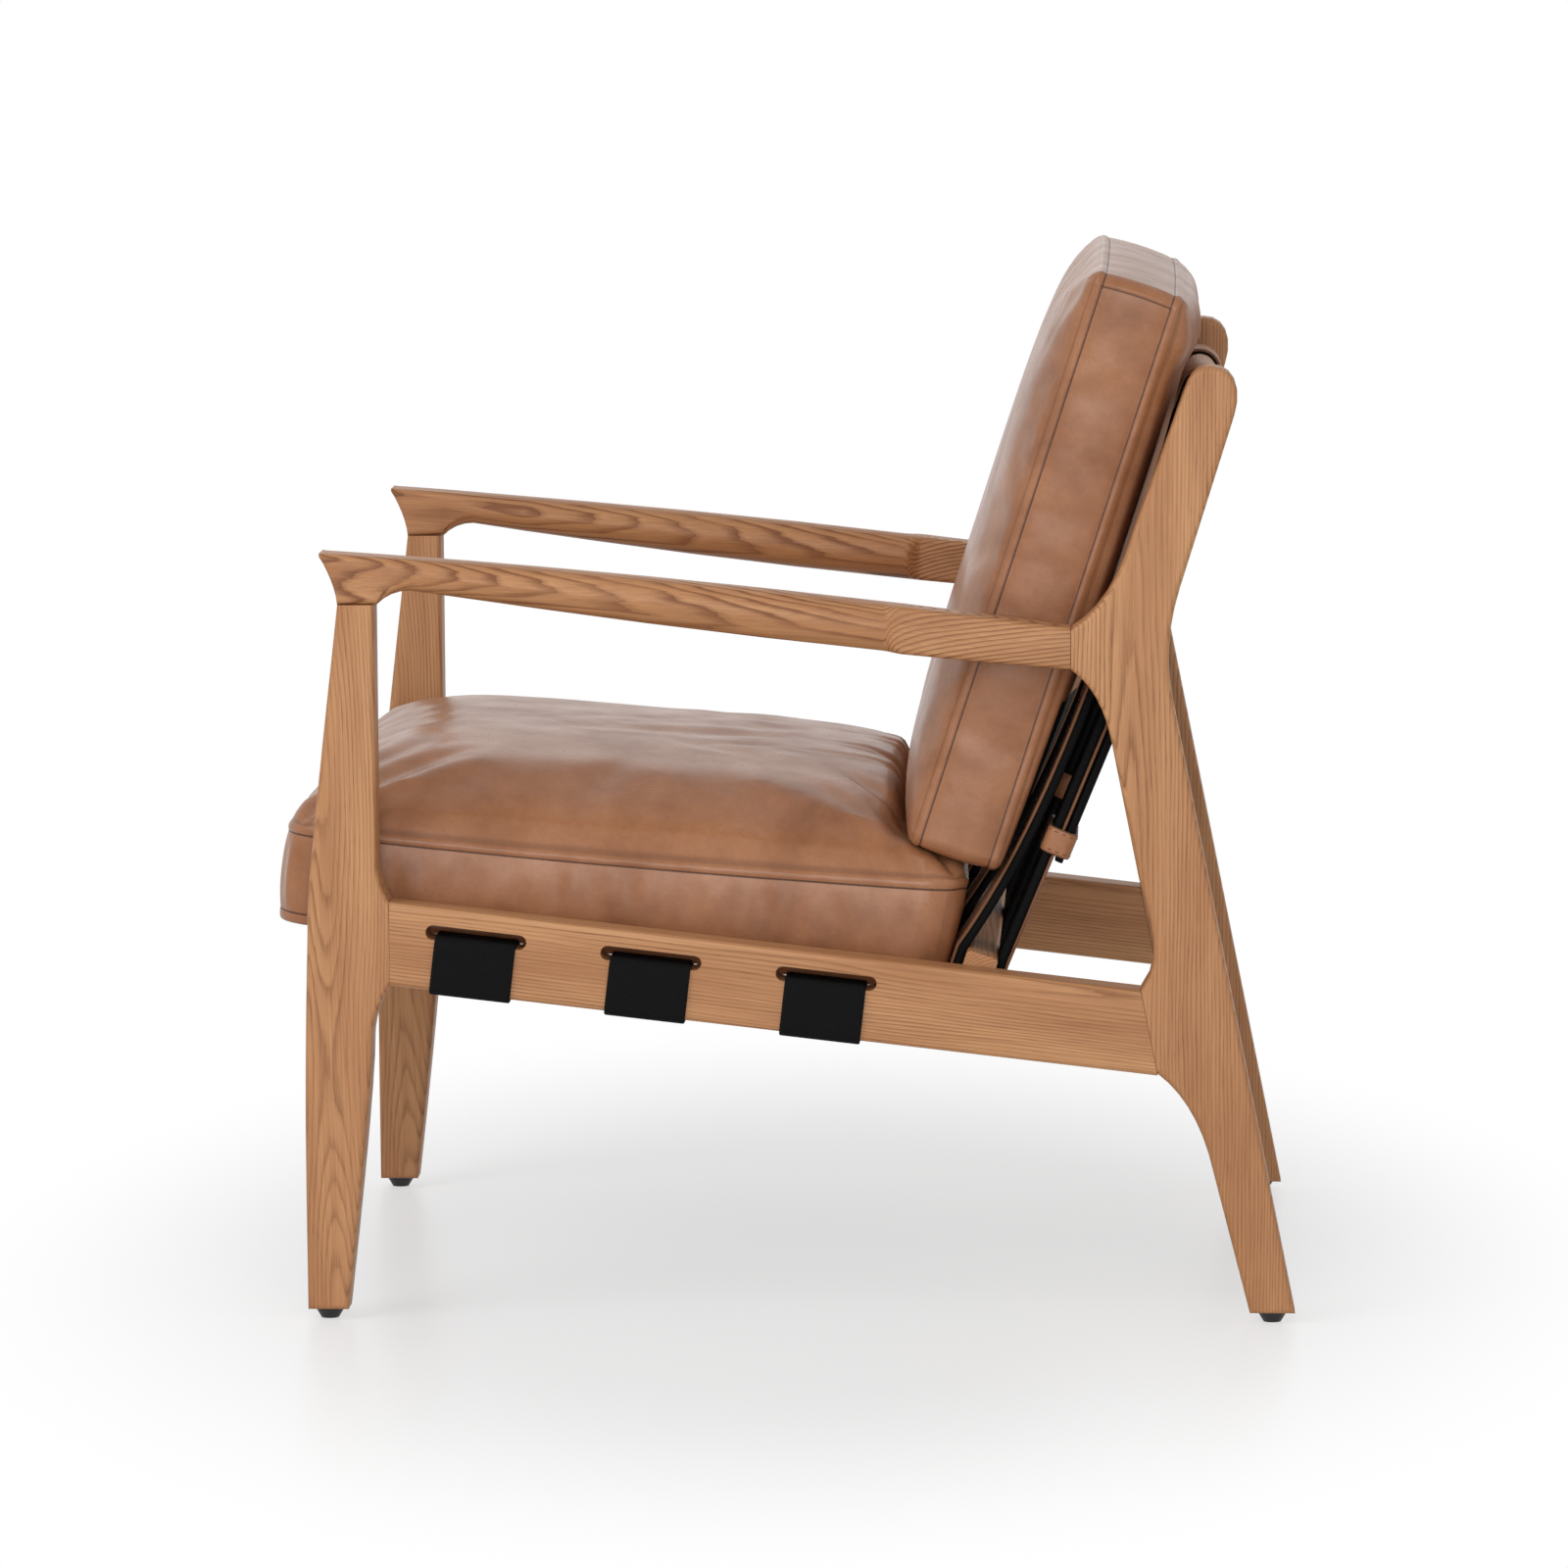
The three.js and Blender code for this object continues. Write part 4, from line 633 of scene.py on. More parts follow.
def thread_mesh(lines):
    """Stitches along closed lines of points with normals, each a small spindle of thread."""
    points = []
    faces = []
    for line, normals in lines:
        line = np.vstack([line, line[:1]])
        normals = np.vstack([normals, normals[:1]])
        steps = np.linalg.norm(np.diff(line, axis=0), axis=1)
        travel = np.concatenate([[0], np.cumsum(steps)])
        count = int(travel[-1] / (STITCH + STITCH_GAP))
        for k in range(count):
            begin = (k + 0.15) * travel[-1] / count
            places = begin + np.array([0, 0.25, 0.75, 1]) * STITCH
            spots = np.stack([np.interp(places, travel, line[:, axis]) for axis in range(3)], 1)
            normal = np.array([np.interp(begin, travel, normals[:, axis]) for axis in range(3)])
            ahead = spots[3] - spots[0]
            side = np.cross(normal, ahead)
            side /= max(np.linalg.norm(side), 1e-9)
            first = len(points)
            points.append(spots[0] - normal * THREAD)
            for spot in spots[1:3]:
                for turn in range(4):
                    angle = turn * math.pi / 2
                    points.append(spot + THREAD * (math.cos(angle) * side + math.sin(angle) * normal))
            points.append(spots[3] - normal * THREAD)
            for turn in range(4):
                after = (turn + 1) % 4
                faces.append((first, first + 1 + after, first + 1 + turn))
                faces.append((first + 1 + turn, first + 1 + after, first + 5 + after, first + 5 + turn))
                faces.append((first + 9, first + 5 + turn, first + 5 + after))
    return points, faces


def stitch_piece(name, lines, material, body, place=Matrix.Identity(4)):
    add_object(name, mesh_of(name, *thread_mesh(lines)), material, body, (), place)


STRIP_ROW = SEAM_ROWS.index(STRIP)
THREAD_RISE = 0.0002


def make_cushion(stem, form, sizes, reshape, lined, cloth, panel, marks, place):
    """The cover of a cushion, its lined part, the foam core and the stitching."""
    body = f"{stem}_cushion"
    cover = cushion_piece(
        f"{stem}_cover", form, ~lined, CUSHION_LEATHER, marks, place, body,
        (f"{body}_cover",),
    )
    cushion_piece(
        f"{stem}_{cloth}", form, lined, LINING, marks, place, body, (f"{body}_{panel}",),
    )
    foam = foam_piece(f"{stem}_foam_core", sizes, reshape, place, body, (f"{body}_foam",))
    normals = form.normals()
    rows = [form.levels[STRIP_ROW], form.levels[-1 - STRIP_ROW]]
    lines = [(form.points[row] + normals[row] * THREAD_RISE, normals[row]) for row in rows]
    stitch_piece(f"{stem}_stitching", lines, SEAM_THREAD, body, place)


SEAT_SIZES = dict(
    half_u=INNER - 0.0085, low=-0.28225, high=0.226, corner=0.034, band_low=0.0003, band_high=0.065,
    crown_low=0.0, crown_high=0.063,
)
SEAT_RISE = 0.017
SEAT_LIP = 0.010
SEAT_LIP_LENGTH = 0.036
SEAT_LIP_BLEND = 0.010
SEAT_TUCK = 0.012
SEAT_TUCK_LENGTH = 0.060
SEAT_RIM = 0.030
SEAT_SAG_FROM = -0.200  # behind the front rail the underside lies on the sagging straps
SEAT_SAG_FULL = -0.176
SEAT_BULGE = 0.004  # how far it bulges between the straps
SEAT_BULGE_BLEND = 0.030
PLEAT_START = 0.222
PLEAT_WIDTH = 0.007
BACK_LOW = 0.363
BACK_FOOT_FRONT = 0.028  # how far the lower edge of the back cushion stands in front of its middle
BACK_FOOT_BLEND = 0.018
BACK_GAP = 0.0015


def seat_shape(points):
    """The band rises towards the rear, the front lip hangs down, the lower rear edge is drawn forward, and
    the underside follows the sagging straps and bulges between them."""
    low, high, band = SEAT_SIZES["low"], SEAT_SIZES["high"], SEAT_SIZES["band_high"]
    u, v, w = points.T
    share = np.clip(w / band, 0, 1)
    along = (v - low) / (high - low)
    lip = smooth_step(low + SEAT_LIP_LENGTH - v, 0, SEAT_LIP_BLEND)
    tuck = np.maximum(0, (v - high + SEAT_TUCK_LENGTH) / SEAT_TUCK_LENGTH)
    beside = np.min([np.abs(v - place) for place in WEB_PLACES.values()], 0) - WEB_WIDTH / 2
    sag = WEB_SAG + SEAT_BULGE * smooth_step(beside, 0, SEAT_BULGE_BLEND)
    sag = sag * smooth_step(v, SEAT_SAG_FROM, SEAT_SAG_FULL)
    raised = w + SEAT_RISE * share * along ** 2 - SEAT_LIP * (1 - share) * lip - sag * (1 - share) ** 2
    return np.column_stack([u, v - SEAT_TUCK * tuck * (1 - share), raised])


def under_back(points, gap):
    """Presses down what would rise into the back cushion, which stands on the rear of the seat."""
    turn = SEAT_PLACE.inverted() @ BACK_PLACE
    across = np.array(turn.inverted())
    height = points @ across[1, :3] + across[1, 3]
    ahead = points @ across[2, :3] + across[2, 3]
    under = 1 - smooth_step(ahead, BACK_FOOT_FRONT, BACK_FOOT_FRONT + BACK_FOOT_BLEND)
    excess = np.maximum(0, height - BACK_LOW + gap) * under
    return points - np.outer(excess / across[1, 2], (0, 0, 1))


def seat_folds(form):
    """Pleats that run forward from under the back cushion, and soft wrinkles on the rest of the top."""
    draw = random.Random(11)
    fold = np.zeros(len(form.points))
    for k in range(11):
        u = -0.25 + 0.034 * k + draw.uniform(-0.008, 0.008)
        end = (u + draw.uniform(-0.035, 0.02), PLEAT_START - draw.uniform(0.09, 0.17))
        fold += crease(form, (u, PLEAT_START), end, draw.uniform(0.0014, 0.003), PLEAT_WIDTH)
    for k in range(16):
        start = (draw.uniform(-0.24, 0.12), draw.uniform(-0.16, 0.06))
        fold += wrinkle(form, draw, start, (0.08, 0.2), (-1.0, 1.0), (0.0008, 0.0018), (0.010, 0.020))
    return fold


def band_ripple(form, seed):
    """Soft upright puckers below the seams of the band."""
    draw = random.Random(seed)
    around = form.grid_u + form.grid_v
    wave = sum(np.sin(around * draw.uniform(110, 260) + draw.uniform(0, 6.3)) for k in range(5)) / 5
    depth = np.minimum(-form.from_high, -form.from_low)
    return 0.0016 * wave * smooth_step(depth, STRIP, STRIP + 0.015)


def make_seat():
    form = BoxCushion(**SEAT_SIZES)
    form.points = seat_shape(form.points)
    inflate(form, band_give=0.35, slack=0.012, cap=0.006)
    form.points = under_back(form.points, BACK_GAP)
    relief = seat_folds(form) + band_ripple(form, 5)
    relief += seam_relief(form.from_high) + 0.6 * seam_relief(form.from_low)
    form.points = form.points + form.normals() * relief[:, None]
    centre = form.points[form.faces].mean(1)
    under = (form.panel == 1) & (np.abs(centre[:, 0]) < SEAT_SIZES["half_u"] - SEAT_RIM)
    under &= centre[:, 1] > SEAT_SIZES["low"] + SEAT_LIP_LENGTH
    under &= centre[:, 1] < SEAT_SIZES["high"] - SEAT_RIM
    make_cushion(
        "seat", form, SEAT_SIZES, lambda points: under_back(seat_shape(points), FOAM_INSET), under,
        "underside_cloth", "underside", form.marks(), SEAT_PLACE,
    )


make_seat()

BACK_SIZES = dict(
    half_u=INNER - 0.0115, low=BACK_LOW, high=0.808, corner=0.010, band_low=-0.047, band_high=0.020,
    crown_low=0.0182, fill_low=0.3, crown_high=0.021,
)
BACK_CROWN_TOP = 0.010
BACK_REAR_TAPER = 0.55
REAR_SWELL = 0.007  # how far the rear swells above the crest dowel
REAR_SWELL_FROM = 0.745
REAR_SWELL_FULL = 0.775
BACK_PANEL_TOP = 0.497
BACK_RIM = 0.012
PILLOW = 0.007  # how far the rear swells between the belts
PILLOW_PLACE = 0.125


def back_shape(points):
    """The top edge is crowned. The rear is flat at the bottom and swells between and above the belts."""
    middle = (BACK_SIZES["low"] + BACK_SIZES["high"]) / 2
    half = BACK_SIZES["high"] - middle
    u, v, w = points.T
    up = np.maximum(0, (v - middle) / half)
    across = np.minimum(1, np.abs(u) / BACK_SIZES["half_u"])
    crowned = v + BACK_CROWN_TOP * up ** 4 * (1 - across ** 2)
    down = np.maximum(0, (middle - crowned) / half)
    behind = np.maximum(0, BACK_SIZES["band_low"] - w)
    pillow = bell(np.abs(u) - PILLOW_PLACE, 0.05) * bell(v - 0.60, 0.16) * np.minimum(1, behind / 0.01)
    swell = smooth_step(v, REAR_SWELL_FROM, REAR_SWELL_FULL) * smooth_step(middle + half - v, 0, 0.03)
    swell = swell * np.minimum(1, behind / 0.008)
    rear = BACK_REAR_TAPER * down * behind - PILLOW * pillow - REAR_SWELL * swell
    return np.column_stack([u, crowned, w + rear])


def back_folds(form):
    """Small pleats that run down and inwards from the upper corners of the front."""
    draw = random.Random(23)
    fold = np.zeros(len(form.points))
    for side in (-1, 1):
        for k in range(7):
            u = side * (BACK_SIZES["half_u"] - draw.uniform(0.006, 0.06))
            v = BACK_SIZES["high"] - draw.uniform(0.006, 0.025)
            ranges = ((0.05, 0.12), (0.1, 1.1), (0.0006, 0.0013), (0.006, 0.011))
            fold += wrinkle(form, draw, (u, v), *ranges, way=(-side, -1))
    return fold


def make_back():
    form = BoxCushion(**BACK_SIZES)
    form.points = back_shape(form.points)
    inflate(form, band_give=0.3, slack=0.010, cap=0.005)
    joint = np.abs(form.grid_v - (form.half_v - form.corner))
    between = (form.from_high <= -STRIP) & (form.from_low <= -STRIP)
    joint = np.where(between & (np.abs(form.grid_u) > form.half_u - 1e-6), joint, 1)
    relief = back_folds(form) + 0.12 * band_ripple(form, 9)
    relief += seam_relief(form.from_high) + seam_relief(form.from_low) - 0.0012 * bell(joint, 0.001)
    form.points = form.points + form.normals() * relief[:, None]
    marks = form.marks()
    # The corner joint grooves of the back get the same painted shade as its stitched lines
    marks["stitch"] = np.minimum(marks["stitch"], joint)
    marks["matt"] = smooth_step(form.from_low, 0, 0.025)
    centre = form.points[form.faces].mean(1)
    inside = np.abs(centre[:, 0]) < BACK_SIZES["half_u"] - BACK_RIM
    base = (form.panel == 2) & (centre[:, 1] < BACK_SIZES["low"] + 0.006)
    lining = inside & ((form.panel == 1) & (centre[:, 1] < BACK_PANEL_TOP) | base)
    make_cushion(
        "back", form, BACK_SIZES, back_shape, lining,
        "rear_cloth", "rear_panel", marks, BACK_PLACE,
    )


make_back()


# Straps


def strap_section(width, thickness, rows=8):
    """Outline across a strap: flat faces and round edges. Pairs of place across the width and height."""
    radius = thickness / 2
    flat = width / 2 - radius
    outline = []
    for side in (1, -1):
        outline += [(x, side * radius) for x in np.linspace(-side * flat, side * flat, rows)]
        for k in range(1, 4):
            angle = side * math.pi / 2 - k * math.pi / 4
            outline.append((side * flat + radius * math.cos(angle), radius * math.sin(angle)))
    return np.array(outline)


def dense(path, step):
    """The same path with points no further apart than the step."""
    result = [np.array(path[0], float)]
    for point in path[1:]:
        point = np.array(point, float)
        count = max(1, math.ceil(np.linalg.norm(point - result[-1]) / step))
        before = result[-1]
        result += [before + (point - before) * k / count for k in range(1, count + 1)]
    return np.array(result)


def sideways(path, closed):
    """Unit normals of a path in its plane."""
    ahead = np.roll(path, -1, 0) - np.roll(path, 1, 0) if closed else np.gradient(path, axis=0)
    ahead /= np.linalg.norm(ahead, axis=1)[:, None]
    return np.stack([ahead[:, 1], -ahead[:, 0]], 1)


def strap_mesh(name, path, width, thickness, axes, closed=False, flatten=None):
    """A strap along a path in a plane. The axes are the plane's two directions, the way across and a zero."""
    first, second, across, zero = (np.array(axis, float) for axis in axes)
    path = np.asarray(path, float)
    section = strap_section(width, thickness)
    side = sideways(path, closed)
    travel = np.concatenate([[0], np.cumsum(np.linalg.norm(np.diff(path, axis=0), axis=1))])
    count = len(section)
    full = np.ones(len(path)) if flatten is None else 1 - flatten
    flat = path[:, None] + side[:, None] * (section[:, 1] * full[:, None])[..., None]
    points = zero + flat[..., :1] * first + flat[..., 1:] * second + section[:, :1] * across
    rings = np.arange(len(path) * count).reshape(-1, count)
    if closed:
        faces = tube_faces([*rings, rings[0]])
    else:
        faces = [*tube_faces(rings), rings[0], rings[-1, ::-1]]
    attributes = {
        "along": np.repeat(travel, count),
        "across": np.tile(section[:, 0], len(path)),
        "edge": np.tile(width / 2 - np.abs(section[:, 0]), len(path)),
    }
    mesh = mesh_of(name, points.reshape(-1, 3), faces, attributes)
    form = bmesh.new()
    form.from_mesh(mesh)
    bmesh.ops.recalc_face_normals(form, faces=form.faces)
    form.to_mesh(mesh)
    form.free()
    return mesh


def add_strap(name, material, body, slot, node, *shape, **options):
    add_object(name, strap_mesh(name, *shape, **options), material, body, (node,))


def corner_arc(centre, radius, start, end, steps=6):
    angles = np.linspace(start, end, steps + 1)
    return [(centre[0] + radius * math.cos(a), centre[1] + radius * math.sin(a)) for a in angles]


def round_loop(half, low, high, bend, steps):
    """A rectangle with round corners."""
    loop = []
    for side, upper, start in ((1, True, 0), (-1, True, 0.5), (-1, False, 1), (1, False, 1.5)):
        centre = (side * (half - bend), high - bend if upper else low + bend)
        loop += corner_arc(centre, bend, start * math.pi, (start + 0.5) * math.pi, steps)
    return loop


def make_seat_webbing():
    """Each strap sags under the cushion, passes out through both rails and is sewn to itself inside."""
    half = WEB_THICKNESS / 2
    bend = half + WEB_GAP + EDGE
    low = (WEB_DROP - RAIL_DEPTH) * math.cos(SEAT_ANGLE)
    inner = INNER + EDGE
    outer = OUTER - EDGE
    lower = low + EDGE
    upper = -WEB_THICKNESS - WEB_GAP - EDGE
    side = [(INNER - WEB_GAP - half, -WEB_THICKNESS - half)]
    side += corner_arc((inner, lower), bend, math.pi, 1.5 * math.pi)
    side += corner_arc((outer, lower), bend, -0.5 * math.pi, 0)
    side += corner_arc((outer, upper), bend, 0, math.pi / 2)
    for t in np.linspace(0, 1, 7):
        side.append((INNER - WEB_RAMP * t, -half - WEB_SAG * (1 - math.cos(math.pi * t)) / 2))
    path = [*side, *((-x, w) for x, w in reversed(side))]
    place = np.array(SEAT_PLACE)
    for name, v in WEB_PLACES.items():
        axes = (place[:3, 0], place[:3, 2], place[:3, 1], place[:3, 3] + place[:3, 1] * v)
        add_strap(
            f"seat_strap_{name}", WEBBING, "frame", "webbing", f"seat_webbing_{name}",
            dense(path, STRAP_STEP), WEB_WIDTH, WEB_THICKNESS, axes,
        )


make_seat_webbing()

# Belt route, in the side view as pairs of y and z
CROSS_THICKNESS = 0.024
BACK_RAIL = np.array([0.1475, 0.270])
BACK_RAIL_DEPTH = 0.044
CREST = np.array(middle_of("crest_dowel"))[1:]
CREST_RADIUS = 0.0135
BELT_INNER = 0.0004
BELT_ROUND = EDGE + BELT_INNER
CREST_WRAP = CREST_RADIUS + BELT_INNER
BELT_GIVE = 0.018
BOW_AT = 0.66
SLIDE_AT = 0.285
SLIDE_BOW = 0.001
SLIDE_PITCH = 0.016
SLIDE_BEND = 0.004
SLIDE_CLEAR = 0.001
FOLD_LENGTH = 0.024
TAIL_BULGE = 0.0025
TAIL_CLEAR = 0.0015
CREST_PRESS = 0.85  # share of the webbing's thickness that is pressed flat over the crest dowel
TAIL_TIP_AT = 0.086
KEEPER_AT = 0.100
KEEPER_STAGGER = 0.015
KEEPER_SLACK = 0.0006
KEEPER_EASE = 0.0025
KEEPER_BEND = 0.006
KEEPER_HEM = 0.003
RAIL_UP = np.array([math.sin(BACK_LEAN), math.cos(BACK_LEAN)])
RAIL_BACK = np.array([math.cos(BACK_LEAN), -math.sin(BACK_LEAN)])


def turned(length, angle):
    return length * np.array([math.cos(angle), math.sin(angle)])


def rail_corner(back, up):
    half = CROSS_THICKNESS / 2 - EDGE
    return BACK_RAIL + RAIL_BACK * back * half + RAIL_UP * (-EDGE if up == 1 else EDGE - BACK_RAIL_DEPTH)


def tangent_angle(corner, side):
    span = CREST - corner
    swing = math.asin((CREST_WRAP - BELT_ROUND) / np.linalg.norm(span))
    return math.atan2(span[1], span[0]) - side * (math.pi / 2 + swing)


REAR_LENGTH = np.linalg.norm(CREST - rail_corner(1, 1))
STRAIGHT_ANGLE = tangent_angle(rail_corner(1, 1), 1)
REAR_ANGLE = STRAIGHT_ANGLE - math.atan(SLIDE_BOW / SLIDE_AT)
REAR_TOP_ANGLE = STRAIGHT_ANGLE + math.atan(SLIDE_BOW / (REAR_LENGTH - SLIDE_AT))
FRONT_ANGLE = tangent_angle(rail_corner(-1, 1), -1)
REAR_LOW = rail_corner(1, 1) + turned(BELT_ROUND, REAR_ANGLE)
REAR_OUT = turned(1, REAR_ANGLE)
REAR_UP = np.array([-REAR_OUT[1], REAR_OUT[0]])
LEATHER_OUT = BELT_WEBBING + LAYER_GAP + BELT_LEATHER
BAR_WRAP = SLIDE_ROD + LAYER_GAP
TOP_BAR_OUT = LEATHER_OUT - BELT_LEATHER - BAR_WRAP
LOW_BAR_OUT = 2 * BELT_WEBBING + LAYER_GAP + BAR_WRAP + SLIDE_CLEAR
MIDDLE_BAR_OUT = (TOP_BAR_OUT + LOW_BAR_OUT) / 2
LEATHER_END = SLIDE_AT - 3 * SLIDE_PITCH
TAIL_STANDOFF = LEATHER_OUT + BELT_WEBBING + TAIL_CLEAR


def on_rear_run(up, out):
    return REAR_LOW + REAR_UP * up + REAR_OUT * out


def belt_loop(out):
    """Over the crest dowel, down the front, round the lower rail and up the rear, at a distance outside
    the webbing's inner face."""
    rail_radius = BELT_ROUND + out
    crest_radius = CREST_WRAP + out
    run = np.linalg.norm(CREST - rail_corner(-1, 1))
    top_angle = FRONT_ANGLE + math.atan(2 * BELT_GIVE / (BOW_AT * run))
    low_angle = FRONT_ANGLE - math.atan(2 * BELT_GIVE / ((1 - BOW_AT) * run))
    front_top = CREST + turned(crest_radius, top_angle)
    front_low = rail_corner(-1, 1) + turned(rail_radius, low_angle)
    bow = front_top + (front_low - front_top) * BOW_AT - turned(2 * BELT_GIVE, FRONT_ANGLE)
    rear_top = CREST + turned(crest_radius, REAR_TOP_ANGLE)
    start = on_rear_run(SLIDE_AT, out)
    share = (FOLD_LENGTH + SLIDE_PITCH / 2) / (REAR_LENGTH - SLIDE_AT)
    turn = -BACK_LEAN
    front = [
        (1 - t) ** 2 * front_top + 2 * t * (1 - t) * bow + t ** 2 * front_low
        for t in np.linspace(0, 1, 25)[1:]
    ]
    return [
        start + (rear_top - start) * share,
        *corner_arc(CREST, crest_radius, REAR_TOP_ANGLE, top_angle, 16),
        *front,
        *corner_arc(rail_corner(-1, 1), rail_radius, low_angle, turn + math.pi, 3)[1:],
        *corner_arc(rail_corner(-1, -1), rail_radius, turn + math.pi, turn + 1.5 * math.pi),
        *corner_arc(rail_corner(1, -1), rail_radius, turn - math.pi / 2, turn),
        on_rear_run(0, out),
        on_rear_run(LEATHER_END, out),
    ]


def crest_grip(path):
    """1 where a strap is pulled tight and flat over the crest dowel, falling to 0 on its straight runs."""
    return 1 - smooth_step(np.linalg.norm(path - CREST, axis=1), CREST_WRAP + 0.01, CREST_WRAP + 0.05)


def drawn_in(path, depth):
    towards = CREST - path
    towards /= np.linalg.norm(towards, axis=1)[:, None]
    return path + towards * (depth * crest_grip(path))[:, None]


def leather_path():
    half = BELT_LEATHER / 2
    radius = BAR_WRAP + half
    fold = [
        on_rear_run(SLIDE_AT + FOLD_LENGTH, TOP_BAR_OUT - radius),
        *corner_arc(on_rear_run(SLIDE_AT, TOP_BAR_OUT), radius, REAR_ANGLE - math.pi, REAR_ANGLE, 10),
    ]
    return drawn_in(dense([*fold, *belt_loop(LEATHER_OUT - half)], STRAP_STEP), CREST_PRESS * BELT_WEBBING)


def webbing_path():
    half = BELT_WEBBING / 2
    radius = BAR_WRAP + half
    turn = on_rear_run(SLIDE_AT - SLIDE_PITCH, MIDDLE_BAR_OUT)
    tail = TAIL_STANDOFF - half
    path = dense([
        *belt_loop(half),
        *corner_arc(turn, radius, REAR_ANGLE + math.pi, REAR_ANGLE, 10),
        on_rear_run(SLIDE_AT - 2 * SLIDE_PITCH, LOW_BAR_OUT - BAR_WRAP - half),
        on_rear_run(LEATHER_END, tail + TAIL_BULGE),
        on_rear_run(LEATHER_END - 2 * SLIDE_PITCH, tail),
        on_rear_run(TAIL_TIP_AT, tail),
    ], STRAP_STEP)
    return drawn_in(path, CREST_PRESS * half)


def rod_mesh(name, runs, radius):
    """Round rods along runs of points, as one mesh."""
    curve = bpy.data.curves.new(name, "CURVE")
    curve.dimensions = "3D"
    curve.bevel_depth = radius
    curve.bevel_resolution = 4
    curve.use_fill_caps = True
    for run, closed in runs:
        spline = curve.splines.new("POLY")
        spline.points.add(len(run) - 1)
        for spot, place in zip(spline.points, run):
            spot.co = (*place, 1)
        spline.use_cyclic_u = closed
    piece = bpy.data.objects.new(name, curve)
    mesh = bpy.data.meshes.new_from_object(piece)
    mesh.name = name
    mesh.shade_smooth()
    bpy.data.objects.remove(piece)
    return mesh


def make_slide(name, x):
    """A ring of wire with a bar across its middle."""
    reach = BELT_WIDTH / 2 + SLIDE_ROD + SLIDE_CLEAR
    top = on_rear_run(SLIDE_AT, TOP_BAR_OUT)
    low = on_rear_run(SLIDE_AT - 2 * SLIDE_PITCH, LOW_BAR_OUT)
    middle = on_rear_run(SLIDE_AT - SLIDE_PITCH, MIDDLE_BAR_OUT)
    height = np.linalg.norm(top - low)
    up = (top - low) / height
    ring = [(x + px, *(low + up * pz)) for px, pz in round_loop(reach, 0, height, SLIDE_BEND, 5)]
    bar = [(x - reach, *middle), (x + reach, *middle)]
    mesh = rod_mesh(f"wire_slide_{name}", [(ring, True), (bar, False)], SLIDE_ROD)
    add_object(f"wire_slide_{name}", mesh, METAL, "frame", (f"belt_slide_{name}",))


def make_keeper(name, x, at):
    """A leather ring round the belt and its tail, with a row of stitches along each edge."""
    half = BELT_WIDTH / 2 + KEEPER_EASE + KEEPER_WALL / 2
    near = -KEEPER_SLACK - KEEPER_WALL / 2
    far = TAIL_STANDOFF + LAYER_GAP + KEEPER_WALL / 2
    loop = round_loop(half, near, far, KEEPER_BEND, 6)
    zero = np.array([x, *on_rear_run(at, 0)])
    up = np.array([0, *REAR_UP])
    plane = np.array([(1, 0, 0), (0, *REAR_OUT)])
    loop = dense([*loop, loop[0]], STRAP_STEP / 2)[:-1]
    body = f"keeper_{name}"
    add_strap(
        body, STRAP_LEATHER, body, "belt_leather", f"belt_keeper_{name}",
        loop, KEEPER_HEIGHT, KEEPER_WALL, (*plane, up, zero), closed=True,
    )
    facing = sideways(loop, True)
    face = (loop + facing * KEEPER_WALL / 2) @ plane + zero
    hem = up * (KEEPER_HEIGHT / 2 - KEEPER_HEM)
    lines = [(face - hem, facing @ plane), (face + hem, facing @ plane)]
    stitch_piece(f"keeper_stitching_{name}", lines, BELT_THREAD, body)


def make_belt(name, x, keeper_at):
    axes = ((0, 1, 0), (0, 0, 1), (1, 0, 0), (x, 0, 0))
    add_strap(
        f"leather_belt_{name}", STRAP_LEATHER, "frame", "belt_leather", f"belt_leather_{name}",
        leather_path(), BELT_WIDTH, BELT_LEATHER, axes,
    )
    path = webbing_path()
    add_strap(
        f"webbing_belt_{name}", WEBBING, "frame", "webbing", f"belt_webbing_{name}",
        path, BELT_WIDTH, BELT_WEBBING, axes, flatten=CREST_PRESS * crest_grip(path),
    )
    make_slide(name, x)
    make_keeper(name, x, keeper_at)


BELT_SPACING = INNER - 0.0565
for number, side in enumerate(("left", "middle", "right")):
    make_belt(side, (1 - number) * BELT_SPACING, KEEPER_AT + number * KEEPER_STAGGER)


# Stage


def light_share(nodes):
    """1 for what the camera, a mirror or glass sees, and 0 for light that falls on the object."""
    rays = nodes.add("LightPath", {}).outputs
    seen = nodes.math("MAXIMUM", rays["Is Camera Ray"], rays["Is Glossy Ray"])
    return nodes.math("MAXIMUM", seen, rays["Is Transmission Ray"])


FLOOR_SIZE = 90
SHADOW_NEAR = 0.35
SHADOW_FAR = 0.85
SHADOW_FILL = 0.5  # how much of the shadow is filled with white where it is deepest
AMBIENT = 0.40


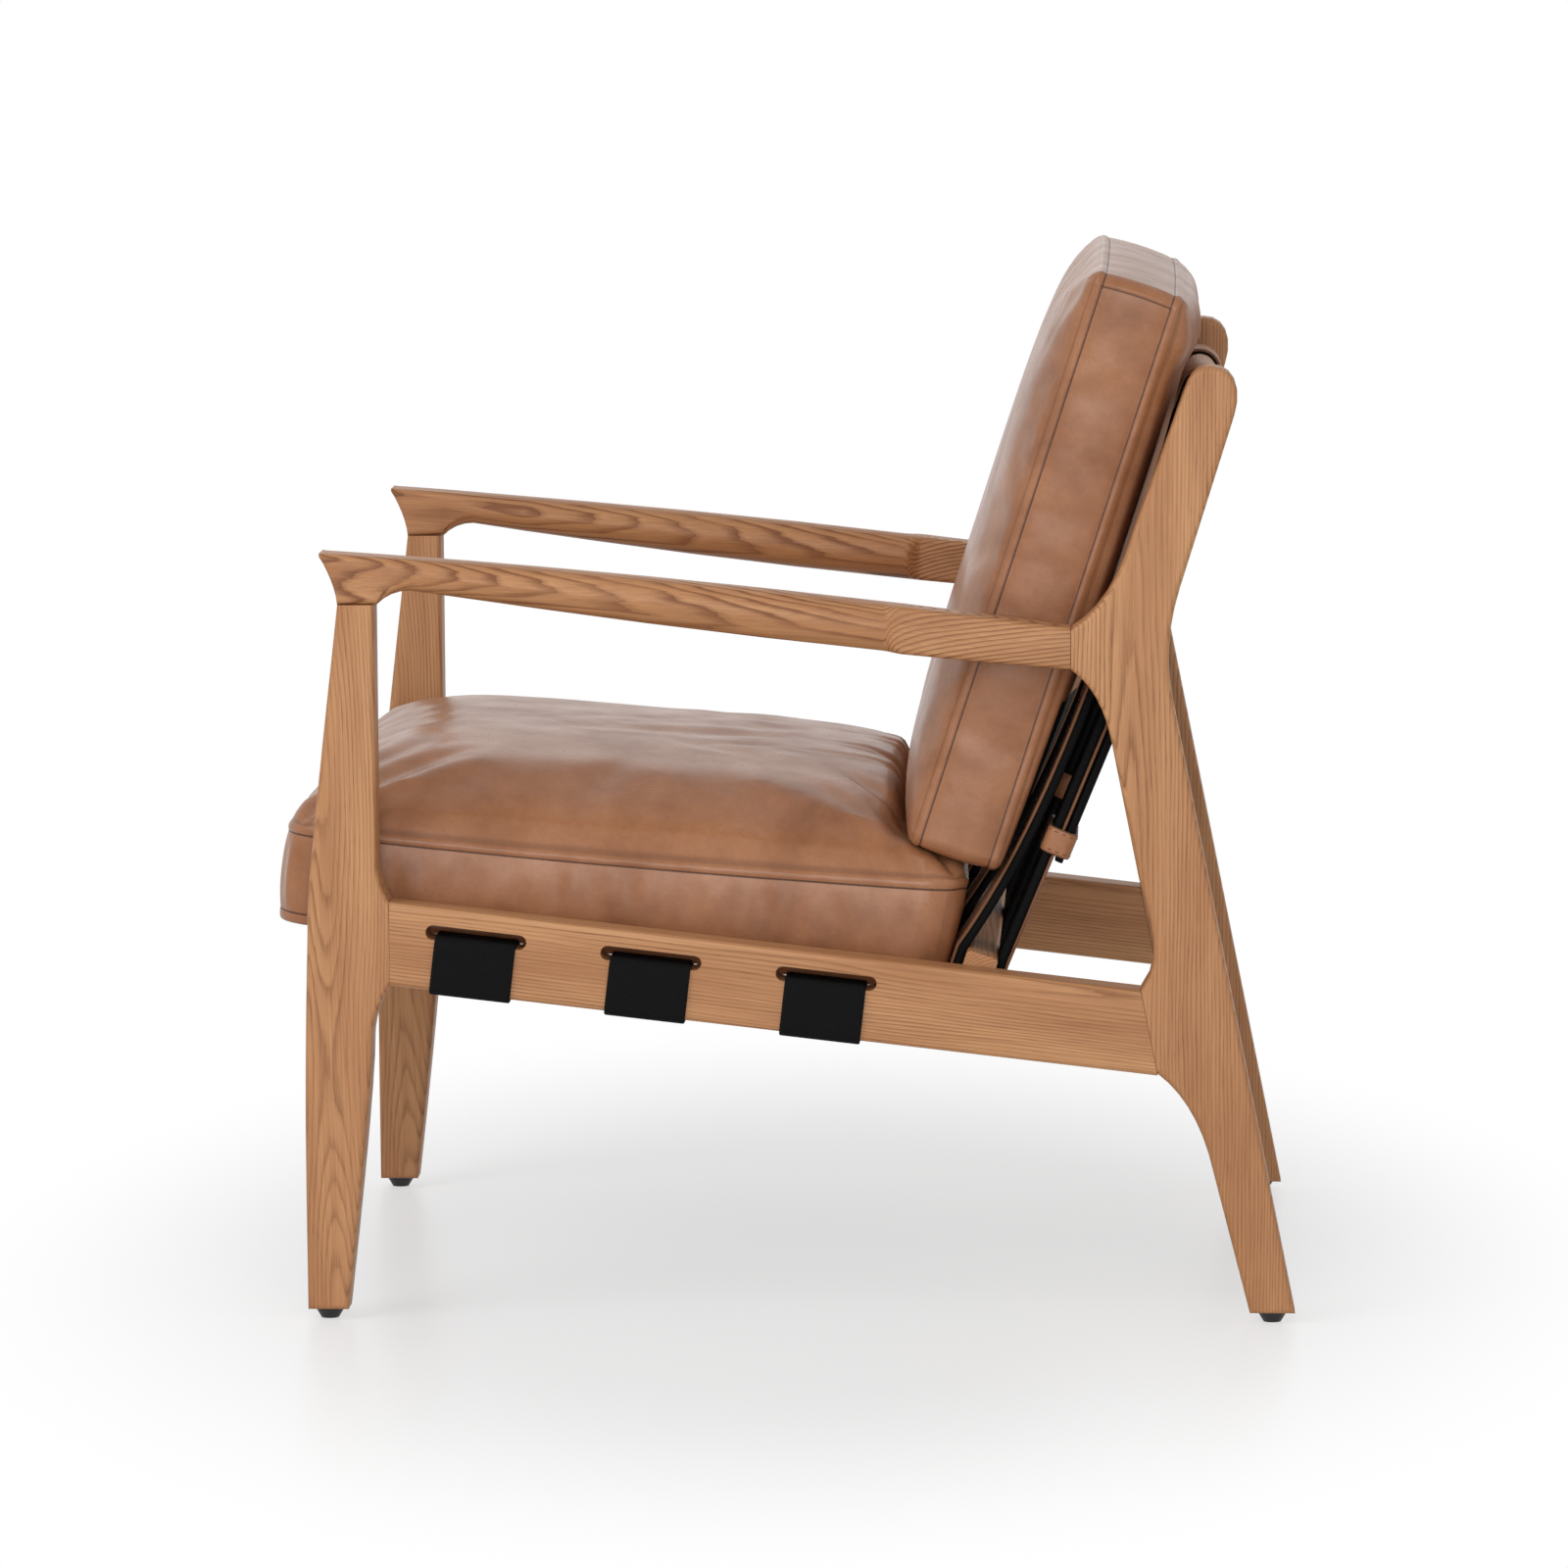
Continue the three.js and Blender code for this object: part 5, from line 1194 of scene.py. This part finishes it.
def make_floor():
    mesh = bpy.data.meshes.new("floor")
    corners = ((-1, -1), (1, -1), (1, 1), (-1, 1))
    mesh.from_pydata([(x * FLOOR_SIZE, y * FLOOR_SIZE, 0) for x, y in corners], [], [(0, 1, 2, 3)])
    floor = new_object("floor", mesh)
    shader = Shader("floor", Roughness=0.32, Specular_IOR_Level=0.25)
    speck = shader.noise(shader.coordinates(), 3, 2)
    shader.finish(Base_Color=shader.ramp(speck, (0.3, (0.86, 0.86, 0.86, 1)), (0.7, (0.89, 0.89, 0.89, 1))))
    place = shader.scaled(shader.coordinates(), (0.62, 1.25, 0))
    reach = shader.add("VectorMath", {0: place}, operation="LENGTH").outputs["Value"]
    away = shader.spread(reach, SHADOW_NEAR, SHADOW_FAR, SHADOW_FILL, 1, smooth=True)
    share = shader.math("MULTIPLY", away, light_share(shader))
    white = shader.add("Emission", {"Color": (1, 1, 1, 1), "Strength": 1.0})
    blend = shader.add("MixShader", {0: share, 1: shader.surface.outputs[0], 2: white.outputs[0]})
    shader.put(shader.tree.nodes["Material Output"], "Surface", blend.outputs[0])
    mesh.materials.append(shader.material)


def make_world():
    world = bpy.data.worlds.new("studio")
    world.use_nodes = True
    nodes = Nodes(world.node_tree)
    background = nodes.tree.nodes["Background"]
    nodes.put(background, "Color", (1, 1, 1, 1))
    nodes.put(background, "Strength", nodes.spread(light_share(nodes), 0, 1, AMBIENT, 1))
    bpy.context.scene.world = world


def add_lamp(name, place, aim, size, power):
    data = bpy.data.lights.new(name, "AREA")
    data.shape = "SQUARE"
    data.size = size
    data.energy = power
    lamp = new_object(name, data)
    lamp.location = place
    lamp.rotation_euler = (Vector(aim) - Vector(place)).to_track_quat("-Z", "Y").to_euler()


def make_camera():
    data = bpy.data.cameras.new("camera")
    data.lens = CAMERA_LENS
    data.sensor_width = 36
    data.clip_end = 300
    camera = new_object("camera", data)
    level = math.cos(CAMERA_PITCH)
    ahead = Vector((-level * math.cos(CAMERA_YAW), -level * math.sin(CAMERA_YAW), -math.sin(CAMERA_PITCH)))
    aim = ahead.to_track_quat("-Z", "Y").to_matrix().to_4x4()
    camera.matrix_world = Matrix.Translation(CAMERA_PLACE) @ aim @ Matrix.Rotation(CAMERA_ROLL, 4, "Z")
    bpy.context.scene.camera = camera


make_floor()
make_world()
add_lamp("key", (2.4, -2.4, 2.9), (0, 0, 0.35), 2.4, 48)
add_lamp("rim", (-3.4, -0.8, 2.4), (0, 0, 0.4), 2.4, 8)
add_lamp("side", (4.2, 0.2, 1.5), (0, 0, 0.4), 2.2, 62)
make_camera()
bpy.context.scene.view_settings.view_transform = "Standard"
